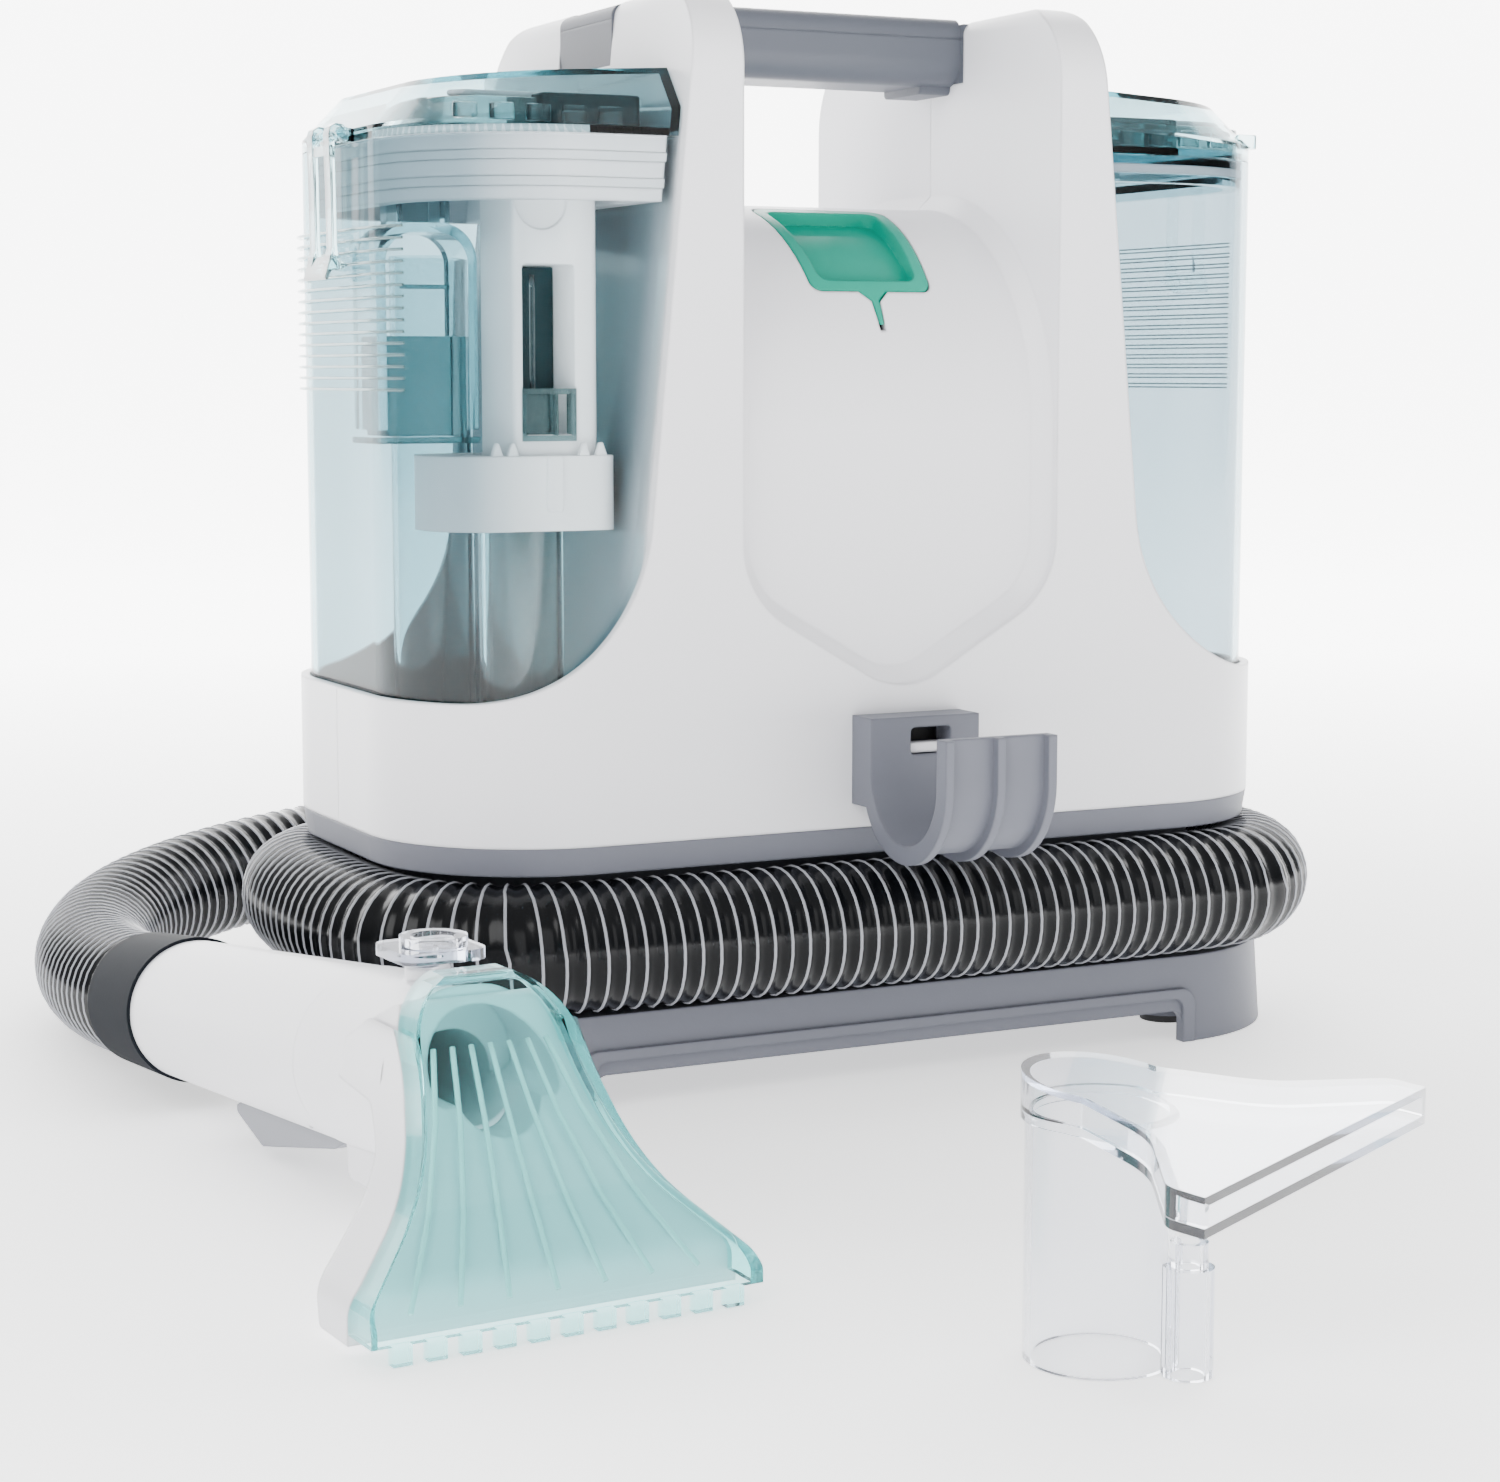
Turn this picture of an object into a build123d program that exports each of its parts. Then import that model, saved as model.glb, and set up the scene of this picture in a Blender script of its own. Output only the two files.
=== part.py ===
"""Portable spot cleaner: a two-tank body on a hose groove, its hose, its hand tool and a spare nozzle."""
from build123d import *
import os
from math import cos, radians, sin

os.makedirs("parts", exist_ok=True)

# ---------------------------------------------------------------- driving dimensions, mm
# Frame: X along the width (dirty tank at -X), the front at -Y, Z up, origin on the floor under the middle.
body_length = 330
body_depth = 172
corner_r = 57
wall = 3

# heights
base_top = 30
skirt_bottom = 75
skirt_top = 84
tray_floor = 91
tray_rim = 129
crown_top = 288
pillar_top = 352
tank_bottom = 92.5
tank_top = 303.7
lid_bottom = 304

# pillars: their outer sides lean outwards towards the floor
pillar_inner_x = 58
pillar_lean = 0.0974
pillar_ref_x = 74.5
pillar_ref_z = 340
flare_r = 60

# centre body between the pillars
panel_y = -78
shoulder_r = 74

# hose
hose_od = 42
hose_wall = 1.5
groove_z = 52.5

# pipes that stand in the dirty tank
inlet_pipe_at = (-118, -46)
air_pipe_at = (-122, 24)
valve_at = (124, 0)

# hand tool: its lip stands on the floor, its barrel slopes down towards the hose
tool_at = (-203.5, -288.5)
tool_yaw = 4
barrel_end_y = 277
barrel_end_z = 30
barrel_slope = 0.096

# spare nozzle, standing on its tube
spare_at = (-98, -357)
spare_yaw = 28.7


def pillar_x(z):
    """Half width of the pillars' outer sides at height z."""
    return pillar_ref_x + pillar_lean * (pillar_ref_z - z)


def closed(points, radii=0, mode=Mode.ADD):
    """A closed outline with rounded corners, in the sketch that is open."""
    with BuildLine() as outline:
        FilletPolyline(*points, radius=radii, close=True)
    make_face(outline.edges(), mode=mode)


def mirrored(points):
    """The points of one half (+X) followed by their mirror images, in order round the outline."""
    return points + [(-x, z) for x, z in reversed(points)]


def plan(inset):
    """Plan outline of the machine, set in from its widest line."""
    RectangleRounded(body_length - 2 * inset, body_depth - 2 * inset, corner_r - inset)


def tank_block(side, inset, z0, z1, gap, z1_outer=None):
    """A block with the tank's plan, from z0 to z1, set in from the machine's outline.

    side is -1 for the dirty tank and 1 for the clean tank; gap is the space to the pillar;
    z1_outer is the height of the top at the outer end where it slopes."""
    z_end = z1 if z1_outer is None else z1_outer
    outer = side * body_length / 2
    inner_low = side * (pillar_x(z0) + gap)
    inner_high = side * (pillar_x(z1) + gap)
    with BuildPart(mode=Mode.PRIVATE) as block:
        with BuildSketch(Plane.XY.offset(z0)):
            plan(inset)
        extrude(amount=max(z1, z_end) - z0)
        with BuildSketch(Plane.XZ):
            closed([(outer, z0), (inner_low, z0), (inner_high, z1), (outer, z_end)])
        extrude(amount=body_depth, both=True, mode=Mode.INTERSECT)
    return block.part


def tube(path_points, radii, outer, inner):
    """A hollow tube along straight runs joined by arcs, in the part that is open."""
    with BuildLine() as path:
        FilletPolyline(*path_points, radius=radii)
    start = Plane(origin=path.line @ 0, z_dir=path.line % 0)
    with BuildSketch(start) as section:
        Circle(outer)
        Circle(inner, mode=Mode.SUBTRACT)
    sweep(section.sketch, path=path.line)


def save(piece, name):
    """Label a finished piece and write it to its own STEP file."""
    piece.part.label = name
    export_step(piece.part, f"parts/{name}.step")


# ---------------------------------------------------------------- base tray and feet
base_wall = 3
arch_half = 111
arch_top = 11
bead_width = 5
foot_r = 9
foot_at = [(-128, -52), (128, -52), (-128, 52), (128, 52)]
base_screw_r = 2
base_screw_at = [(-136, -20), (136, -20), (-136, 20), (136, 20)]

with BuildPart() as base_tray:
    with BuildSketch():
        RectangleRounded(346, 176, 61)
    extrude(amount=base_top, taper=4)
    with BuildSketch():
        RectangleRounded(346 - 2 * base_wall, 176 - 2 * base_wall, 61 - base_wall)
    extrude(amount=base_top - 4, taper=4, mode=Mode.SUBTRACT)
    with BuildSketch(Plane.XZ.offset(70)):
        closed([(-arch_half, -1), (-arch_half, arch_top), (arch_half, arch_top), (arch_half, -1)], [0, 4, 4, 0])
    extrude(amount=30, mode=Mode.SUBTRACT)
    with BuildSketch(Plane.XZ.offset(84)):
        bead_out = arch_half + bead_width
        closed([(-bead_out, 0), (-bead_out, 19), (bead_out, 19), (bead_out, 0)], [0, 6, 6, 0])
        closed([(-arch_half, 0), (-arch_half, 15.5), (arch_half, 15.5), (arch_half, 0)], [0, 4, 4, 0], Mode.SUBTRACT)
    extrude(amount=4.4)
    for x, y in foot_at:
        with BuildSketch(Plane.XY.offset(3)):
            with Locations((x, y)):
                Circle(foot_r + 3)
        extrude(amount=base_top - 4 - 3)
    with BuildSketch(Plane.XY.offset(base_top - 6)):
        with Locations(*base_screw_at):
            Circle(base_screw_r)
    extrude(amount=6, mode=Mode.SUBTRACT)
save(base_tray, "base_tray")

with BuildPart() as rubber_feet:
    with BuildSketch():
        with Locations(*foot_at):
            Circle(foot_r)
    extrude(amount=3)
save(rubber_feet, "rubber_feet")

# ---------------------------------------------------------------- waist drum and skirt
waist_inset = 21
socket_x = -45
socket_duct_r = 12.5
with BuildPart() as waist_core:
    with BuildSketch(Plane.XY.offset(base_top)):
        plan(waist_inset)
    extrude(amount=skirt_bottom - base_top)
    with BuildSketch(Plane.XY.offset(base_top)):
        plan(waist_inset + wall)
    extrude(amount=skirt_bottom - base_top, mode=Mode.SUBTRACT)
    with BuildSketch(Plane.XY.offset(base_top)):
        with Locations(*base_screw_at):
            Circle(5.5)
            Circle(base_screw_r, mode=Mode.SUBTRACT)
    extrude(amount=26)
    with BuildSketch(Plane.XZ.offset(-50)):
        with Locations((socket_x, groove_z)):
            Circle(socket_duct_r)
    extrude(amount=-30, mode=Mode.SUBTRACT)
save(waist_core, "waist_core")

with BuildPart() as skirt_band:
    with BuildSketch(Plane.XY.offset(skirt_bottom)):
        plan(1.5)
    extrude(amount=skirt_top - skirt_bottom, taper=-9)
    with BuildSketch(Plane.XY.offset(skirt_bottom + wall)):
        plan(1.5 + wall)
    extrude(amount=skirt_top - skirt_bottom, mode=Mode.SUBTRACT)
    with BuildSketch(Plane.XY.offset(skirt_bottom)):
        plan(waist_inset + wall)
    extrude(amount=wall, mode=Mode.SUBTRACT)
save(skirt_band, "skirt_band")

# ---------------------------------------------------------------- white body shells
front_round = 26
shoulder_cut_z = 215
back_round = 32
shield_side_z = 160
shield_tip_z = 126
holder_x = (-19, 21)

bevel_size = 5.5


def shield_outline(inset):
    """The recess's outline on the front, set in by inset; its top runs out over the crown."""
    side = pillar_inner_x - inset
    rise = inset * 1.15
    closed([(0, shield_tip_z + rise), (side, shield_side_z + rise / 2), (side, crown_top + 8),
            (-side, crown_top + 8), (-side, shield_side_z + rise / 2)], [26 - inset, 30 - inset, 0, 0, 30 - inset])


def centre_profile(grow):
    """Side outline of the centre body, with its rounded shoulders."""
    closed([(panel_y - grow, 150), (panel_y - grow, crown_top + grow), (body_depth / 2 + grow, crown_top + grow),
            (body_depth / 2 + grow, 150)], [0, shoulder_r + grow, 60 + grow, 0])


with BuildPart() as bevel_form:
    with BuildSketch(Plane.YZ.offset(pillar_inner_x - bevel_size)):
        centre_profile(0)
    with BuildSketch(Plane.YZ.offset(pillar_inner_x)):
        centre_profile(bevel_size)
    loft(ruled=True)
    with BuildSketch(Plane.YZ.offset(pillar_inner_x - bevel_size)):
        with Locations((0, shoulder_cut_z + 60)):
            Rectangle(body_depth, 120)
    extrude(amount=bevel_size, mode=Mode.INTERSECT)
shoulder_bevel = bevel_form.part

with BuildPart() as body_form:
    with BuildSketch(Plane.XY.offset(skirt_top)):
        plan(0)
    extrude(amount=pillar_top - skirt_top)
    with BuildSketch(Plane.XZ):
        half = [(body_length / 2, skirt_top), (body_length / 2, tray_rim), (pillar_x(tray_rim), tray_rim),
                (pillar_x(pillar_top), pillar_top), (pillar_inner_x, pillar_top), (pillar_inner_x, crown_top)]
        half_radii = [0, 0, flare_r, 6, 5, 3]
        closed(mirrored(half), half_radii + half_radii[::-1])
    extrude(amount=body_depth, both=True, mode=Mode.INTERSECT)
    with BuildSketch(Plane.YZ):
        closed([(-body_depth / 2, skirt_top), (-body_depth / 2, pillar_top), (body_depth / 2, pillar_top),
                (body_depth / 2, skirt_top)], [0, front_round, back_round, 0])
    extrude(amount=body_length, both=True, mode=Mode.INTERSECT)
    # the shield-shaped recess of the front, with a bevel round its floor
    with BuildSketch(Plane.XZ.offset(-panel_y + bevel_size)):
        shield_outline(0)
    extrude(amount=20, mode=Mode.SUBTRACT)
    with BuildSketch(Plane.XZ.offset(-panel_y)):
        shield_outline(bevel_size)
    extrude(amount=bevel_size, taper=-45, mode=Mode.SUBTRACT)
    # the rounded shoulders of the centre body, between the pillars
    with BuildSketch(Plane.YZ.offset(-pillar_inner_x)):
        with Locations((0, crown_top - 30)):
            Rectangle(body_depth + 10, 110)
        closed([(panel_y, skirt_top), (panel_y, crown_top), (body_depth / 2, crown_top),
                (body_depth / 2, skirt_top)], [0, shoulder_r, 60, 0], Mode.SUBTRACT)
        with Locations((-body_depth / 2, crown_top - 88)):
            Rectangle(30, 30, mode=Mode.SUBTRACT)
    extrude(amount=2 * pillar_inner_x, mode=Mode.SUBTRACT)
    add(shoulder_bevel)
    add(shoulder_bevel.mirror(Plane.YZ))
print("body form", body_form.part.volume, body_form.part.bounding_box().size, len(body_form.solids()))

with BuildPart() as body_hollow:
    with BuildSketch(Plane.XZ):
        closed(mirrored([(pillar_x(skirt_top) - wall, skirt_top), (pillar_x(crown_top) - wall, crown_top - wall)]))
    extrude(amount=body_depth, both=True)
    with BuildSketch(Plane.YZ):
        closed([(panel_y + wall, skirt_top), (panel_y + wall, crown_top - wall),
                (body_depth / 2 - wall, crown_top - wall), (body_depth / 2 - wall, skirt_top)],
               [0, shoulder_r - wall, 60 - wall, 0])
    extrude(amount=body_length, both=True, mode=Mode.INTERSECT)

with BuildPart() as pillar_hollow:
    with BuildSketch(Plane.XZ):
        for side in (-1, 1):
            closed([(side * (pillar_inner_x + wall), 200), (side * (pillar_inner_x + wall), pillar_top - 4),
                    (side * (pillar_x(pillar_top) - wall), pillar_top - 4), (side * (pillar_x(200) - wall), 200)])
    extrude(amount=body_depth, both=True)
    with BuildSketch(Plane.YZ):
        closed([(-body_depth / 2 + wall, 200), (-body_depth / 2 + wall, pillar_top - 4),
                (body_depth / 2 - wall, pillar_top - 4), (body_depth / 2 - wall, 200)],
               [0, front_round - wall, back_round - wall, 0])
    extrude(amount=body_length, both=True, mode=Mode.INTERSECT)

with BuildPart() as tray_underside:
    with BuildSketch(Plane.XY.offset(skirt_top)):
        plan(wall)
    extrude(amount=tray_floor - wall - skirt_top)

left_well = tank_block(-1, wall, tray_floor, pillar_top + 10, 0)
right_well = tank_block(1, wall, tray_floor, pillar_top + 10, 0)

# ---------------------------------------------------------------- handle
handle_half_depth = 20
strip_half_depth = 22
handle_bottom_z = 330
handle_seam_z = 346
handle_side_x = 74.6
tab_bottom_z = 327.5
tab_length = 12
plug_bottom_z = 331

with BuildPart() as handle_notch:
    with BuildSketch(Plane.YZ):
        with Locations((0, (plug_bottom_z + pillar_top + 8) / 2)):
            Rectangle(2 * strip_half_depth, pillar_top + 8 - plug_bottom_z)
    extrude(amount=90, both=True)
    with BuildSketch(Plane.YZ):
        with Locations((0, (plug_bottom_z + pillar_top + 8) / 2)):
            Rectangle(100, 100)
    extrude(amount=pillar_inner_x, both=True, mode=Mode.SUBTRACT)

with BuildPart() as handle_base:
    with BuildSketch(Plane.YZ):
        closed([(-handle_half_depth, handle_seam_z), (-handle_half_depth, handle_bottom_z),
                (handle_half_depth, handle_bottom_z), (handle_half_depth, handle_seam_z)], [0, 9, 9, 0])
    extrude(amount=pillar_inner_x, both=True)
    for side in (-1, 1):
        with BuildSketch(Plane.YZ.offset(side * pillar_inner_x)):
            with Locations((0, (plug_bottom_z + handle_seam_z) / 2)):
                Rectangle(2 * strip_half_depth, handle_seam_z - plug_bottom_z)
        extrude(amount=side * (handle_side_x - pillar_inner_x))
        with BuildSketch(Plane.YZ.offset(side * (pillar_inner_x - tab_length))):
            closed([(-13, tab_bottom_z), (13, tab_bottom_z), (13, handle_bottom_z + 4),
                    (-13, handle_bottom_z + 4)], [2, 2, 0, 0])
        extrude(amount=side * tab_length)
save(handle_base, "handle_base")

with BuildPart() as handle_cap:
    with BuildSketch(Plane.YZ):
        closed([(-handle_half_depth, handle_seam_z), (-handle_half_depth, 353), (handle_half_depth, 353),
                (handle_half_depth, handle_seam_z)], [0, 5, 5, 0])
    extrude(amount=pillar_inner_x, both=True)
    for side in (-1, 1):
        with BuildSketch(Plane.YZ.offset(side * pillar_inner_x)):
            with Locations((0, (handle_seam_z + 351) / 2)):
                Rectangle(2 * strip_half_depth, 351 - handle_seam_z)
        extrude(amount=side * (handle_side_x - pillar_inner_x))
        top_outer = handle_cap.edges().filter_by(Axis.Y).group_by(Axis.X)[0 if side < 0 else -1].sort_by(Axis.Z)[-1]
        fillet(top_outer, 4)
save(handle_cap, "handle_cap")

# ---------------------------------------------------------------- power button on the shoulder
button_angle = radians(58)
shoulder_centre = (panel_y + shoulder_r, crown_top - shoulder_r)
button_origin = (0, shoulder_centre[0] - shoulder_r * cos(button_angle),
                 shoulder_centre[1] + shoulder_r * sin(button_angle))
button_normal = (0, -cos(button_angle), sin(button_angle))
button_plane = Plane(origin=button_origin, x_dir=(1, 0, 0), z_dir=button_normal)
button_gap = 0.5
button_travel = 3


def button_outline(grow):
    """The button's outline on its own plane: a rounded panel with a pointed tail below."""
    low, high = -27 - grow, 24 + grow
    wide_low, wide_high = 22 + grow, 25 + grow
    closed([(-wide_low, low), (-5 - grow, low), (-1.2 - grow, low - 3.5), (-0.6 - grow, low - 13),
            (0.6 + grow, low - 13), (1.2 + grow, low - 3.5), (5 + grow, low), (wide_low, low),
            (wide_high, high), (-wide_high, high)], [4, 0, 0, 0, 0, 0, 0, 4, 6, 6])


with BuildPart() as button_opening:
    with BuildSketch(button_plane.offset(-22)):
        button_outline(button_gap)
    extrude(amount=50)

inlet_duct_r = 12.5
air_duct_r = 10.5
feed_tube_r = 4
duct_wall = 2
screw_post_r = 5
screw_post_end_y = 60
screw_r = 2
screw_head_r = 4
screw_head_height = 2.4
case_screw_at = [(-68, 240), (68, 240), (-78, 172), (78, 172)]
gland_at = (60, 105)
gland_r = 6
grille_half = 35
grille_z = (120, 160)

with BuildPart() as shell_openings:
    add(button_opening.part)
    for at, r in ((inlet_pipe_at, inlet_duct_r), (air_pipe_at, air_duct_r), (valve_at, feed_tube_r)):
        with BuildSketch(Plane.XY.offset(tray_floor - wall - 1)):
            with Locations(at):
                Circle(r)
        extrude(amount=wall + 2)
    with BuildSketch(Plane.XZ.offset(-body_depth / 2 - 1)):
        with Locations((0, sum(grille_z) / 2)):
            Rectangle(2 * grille_half, grille_z[1] - grille_z[0])
        with Locations(gland_at):
            Circle(gland_r)
        with Locations(*case_screw_at):
            Circle(screw_r)
    extrude(amount=wall + 2)
    with BuildSketch(Plane.XZ.offset(-body_depth / 2 - 1)):
        with Locations(*case_screw_at):
            Circle(screw_head_r)
    extrude(amount=screw_head_height + 1)

with BuildPart() as screw_posts:
    with BuildSketch(Plane.XZ.offset(body_depth / 2 - 2)):
        with Locations(*case_screw_at):
            Circle(screw_post_r)
            Circle(screw_r, mode=Mode.SUBTRACT)
    extrude(amount=2 - body_depth / 2 - screw_post_end_y)

for name, keep in (("front_shell", Keep.TOP), ("rear_shell", Keep.BOTTOM)):
    with BuildPart() as shell:
        add(body_form.part)
        add(body_hollow.part, mode=Mode.SUBTRACT)
        add(pillar_hollow.part, mode=Mode.SUBTRACT)
        add(tray_underside.part, mode=Mode.SUBTRACT)
        add(left_well, mode=Mode.SUBTRACT)
        add(right_well, mode=Mode.SUBTRACT)
        add(handle_notch.part, mode=Mode.SUBTRACT)
        add(shell_openings.part, mode=Mode.SUBTRACT)
        split(bisect_by=Plane.XZ, keep=keep)
        if name == "front_shell":
            add(screw_posts.part)
    print(name, shell.part.volume, len(shell.solids()), shell.part.is_valid)
    save(shell, name)

with BuildPart() as shoulder_round:
    with BuildSketch(Plane.YZ.offset(-pillar_inner_x)):
        with Locations(shoulder_centre):
            Circle(shoulder_r)
    extrude(amount=2 * pillar_inner_x)
with BuildPart() as dish_tool:
    with BuildSketch(button_plane.offset(-12)):
        closed([(-18, -23), (18, -23), (21, 20), (-21, 20)], 4)
    extrude(amount=40)
    with BuildSketch(Plane.YZ.offset(-pillar_inner_x)):
        with Locations(shoulder_centre):
            Circle(shoulder_r - 5)
    extrude(amount=2 * pillar_inner_x, mode=Mode.SUBTRACT)
button_depth = 11
stem_r = 4
bracket_depth = 26
bracket_plate = 2.5

with BuildPart() as power_button:
    with BuildSketch(button_plane.offset(-button_depth)):
        button_outline(0)
    extrude(amount=40)
    add(shoulder_round.part, mode=Mode.INTERSECT)
    add(dish_tool.part, mode=Mode.SUBTRACT)
    with BuildSketch(button_plane.offset(-button_depth)):
        Circle(stem_r)
    extrude(amount=-20)
save(power_button, "power_button")

with BuildPart() as button_bracket:
    with BuildSketch(button_plane.offset(-bracket_depth)):
        Rectangle(70, 56)
        Circle(stem_r + 0.08, mode=Mode.SUBTRACT)
    extrude(amount=-bracket_plate)
    for x in (-32.5, 32.5):
        with BuildSketch(button_plane.offset(-bracket_depth)):
            with Locations((x, 0)):
                Rectangle(5, 40)
        extrude(amount=20)
    add(shoulder_round.part, mode=Mode.INTERSECT)
    add(body_hollow.part, mode=Mode.INTERSECT)
save(button_bracket, "button_bracket")

with BuildPart() as button_spring:
    with BuildSketch(button_plane.offset(-bracket_depth)):
        Circle(stem_r + 2.6)
        Circle(stem_r + 1.2, mode=Mode.SUBTRACT)
    extrude(amount=bracket_depth - button_depth - button_travel - 0.5)

switch_depth = button_depth + 20 + button_travel + 0.3
with BuildPart() as power_switch:
    with BuildSketch(button_plane.offset(-switch_depth)):
        Rectangle(20, 13)
    extrude(amount=-14)
    for x in (-13, 13):
        with BuildSketch(button_plane.offset(-bracket_depth - bracket_plate)):
            with Locations((x, 0)):
                Rectangle(6, 13)
        extrude(amount=-(switch_depth + 8 - bracket_depth - bracket_plate))
save(power_switch, "power_switch")

# ---------------------------------------------------------------- tool holder on the front
holder_centre = (-120, 103.7)
trough_r = 21
back_block_y = -99
front_wall_top = 119
with BuildPart() as tool_holder:
    with BuildSketch(Plane.YZ.offset(holder_x[0])):
        with Locations(holder_centre):
            Circle(trough_r + wall)
        with Locations((holder_centre[0] - trough_r - wall / 2, (holder_centre[1] + front_wall_top) / 2)):
            Rectangle(wall, front_wall_top - holder_centre[1])
        with Locations(((back_block_y - body_depth / 2) / 2, 106.5)):
            Rectangle(back_block_y * -1 - body_depth / 2, 29)
        with Locations(holder_centre):
            Circle(trough_r, mode=Mode.SUBTRACT)
        with Locations((holder_centre[0], holder_centre[1] + 30)):
            Rectangle(2 * trough_r, 60, mode=Mode.SUBTRACT)
    extrude(amount=holder_x[1] - holder_x[0])
    rib_r = trough_r + 6
    for x in (holder_x[0], (sum(holder_x) - wall) / 2, holder_x[1] - wall):
        with BuildSketch(Plane.YZ.offset(x)):
            with Locations(holder_centre):
                Circle(rib_r)
            with Locations((holder_centre[0] - rib_r / 2, (holder_centre[1] + front_wall_top) / 2)):
                Rectangle(rib_r, front_wall_top - holder_centre[1])
            with Locations(holder_centre):
                Circle(trough_r + wall - 0.5, mode=Mode.SUBTRACT)
            with Locations((holder_centre[0] + 30 - trough_r - wall + 0.5, holder_centre[1] + 30)):
                Rectangle(60, 60, mode=Mode.SUBTRACT)
            with Locations((-body_depth / 2 + 20, holder_centre[1])):
                Rectangle(40, 80, mode=Mode.SUBTRACT)
        extrude(amount=wall)
    with BuildSketch(Plane.XZ.offset(-back_block_y)):
        with Locations((3, 113)):
            RectangleRounded(15, 9, 1.5)
    extrude(amount=-8, mode=Mode.SUBTRACT)
save(tool_holder, "tool_holder")

# ---------------------------------------------------------------- tanks
tank_inset = 3.5
tank_wall = 2.2
tank_floor_thick = 3
tank_gap = 1
tank_bottom_inside = tank_bottom + tank_floor_thick
pipe_wall = 2
inlet_pipe_r = 13.5
air_pipe_r = 14
valve_bore_r = 9
lug_z = 268
lug_reach = 1.2
lug_half = 13


def tank_shell(side):
    """The open-topped clear wall and floor of one tank, with the lug that its latch hooks under."""
    add(tank_block(side, tank_inset, tank_bottom, tank_top, tank_gap))
    add(tank_block(side, tank_inset + tank_wall, tank_bottom_inside, tank_top + 5, tank_gap + tank_wall),
        mode=Mode.SUBTRACT)
    outer = side * (body_length / 2 - tank_inset)
    with BuildSketch(Plane.XZ.offset(-lug_half)) as lug:
        closed([(outer, lug_z), (outer + side * lug_reach, lug_z), (outer + side * lug_reach, lug_z + 3),
                (outer, lug_z + 7)])
    extrude(lug.sketch, amount=2 * lug_half)


with BuildPart() as dirty_tank_shell:
    tank_shell(-1)
    with Locations((inlet_pipe_at[0], inlet_pipe_at[1], tank_bottom)):
        Cylinder(inlet_pipe_r - pipe_wall, 3 * tank_floor_thick, mode=Mode.SUBTRACT)
    with Locations((air_pipe_at[0], air_pipe_at[1], tank_bottom)):
        Cylinder(air_pipe_r - pipe_wall, 3 * tank_floor_thick, mode=Mode.SUBTRACT)
print("dirty tank", dirty_tank_shell.part.volume, len(dirty_tank_shell.solids()), dirty_tank_shell.part.is_valid)
save(dirty_tank_shell, "dirty_tank_shell")

with BuildPart() as clean_tank_shell:
    tank_shell(1)
    with Locations((valve_at[0], valve_at[1], tank_bottom)):
        Cylinder(valve_bore_r, 3 * tank_floor_thick, mode=Mode.SUBTRACT)
print("clean tank", clean_tank_shell.part.volume, len(clean_tank_shell.solids()), clean_tank_shell.part.is_valid)
save(clean_tank_shell, "clean_tank_shell")

inlet_pipe_top = 195
air_pipe_top = 270
with BuildPart() as tank_pipes:
    for at, r, top in ((inlet_pipe_at, inlet_pipe_r, inlet_pipe_top), (air_pipe_at, air_pipe_r, air_pipe_top)):
        with BuildSketch(Plane.XY.offset(tank_bottom_inside)):
            with Locations(at):
                Circle(r)
                Circle(r - pipe_wall, mode=Mode.SUBTRACT)
        extrude(amount=top - tank_bottom_inside)
save(tank_pipes, "tank_pipes")

# lids: a clear cover over a white frame that plugs the tank's mouth
cover_outer_top = 321
cover_inner_top = 326
cover_chamfer = 13
plug_bottom = {-1: 284, 1: 295}
plug_inset = tank_inset + tank_wall + 0.5
plug_gap = tank_gap + tank_wall + 0.5
plate_thick = 2.5
groove_heights = {-1: (288, 296), 1: (298,)}
groove_width = 3
groove_depth = 3


latch_half = 12
pivot_x = 164.8
pivot_z = 306.8
pin_r = 1.5


def bevelled(block, side, size):
    """A lid block with its top's three outer edges bevelled."""
    top = block.faces().sort_by(Axis.Z)[-1]
    inner_edge = top.edges().sort_by(lambda edge: side * edge.center().X)[0]
    return chamfer([edge for edge in top.edges() if not edge.is_same(inner_edge)], size)


def lid_cover_form(side):
    """The clear top of one lid: a shallow hood with broad bevels on its three outer sides."""
    inset = tank_inset + tank_wall
    gap = tank_gap + tank_wall
    outside = tank_block(side, tank_inset, lid_bottom, cover_inner_top, tank_gap, cover_outer_top)
    inside = tank_block(side, inset, lid_bottom, cover_inner_top - tank_wall, gap, cover_outer_top - tank_wall)
    return bevelled(outside, side, cover_chamfer) - bevelled(inside, side, cover_chamfer - 1.2)


def lid_frame_form(side):
    """The frame of one lid: a plug with grooves round it for its seals, and a plate under the cover."""
    hollow_inset = plug_inset + 2 * wall
    bottom = plug_bottom[side]
    frame = tank_block(side, plug_inset, bottom, lid_bottom, plug_gap)
    frame -= tank_block(side, hollow_inset, bottom, lid_bottom - plate_thick, plug_gap + 2 * wall)
    core = tank_block(side, plug_inset + groove_depth, bottom, lid_bottom, plug_gap + groove_depth)
    for low in groove_heights[side]:
        ring = tank_block(side, plug_inset - 1, low, low + groove_width, plug_gap - 1)
        frame -= ring - core
    frame += tank_block(side, tank_inset + tank_wall, lid_bottom, lid_bottom + plate_thick, tank_gap + tank_wall)
    return frame


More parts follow.
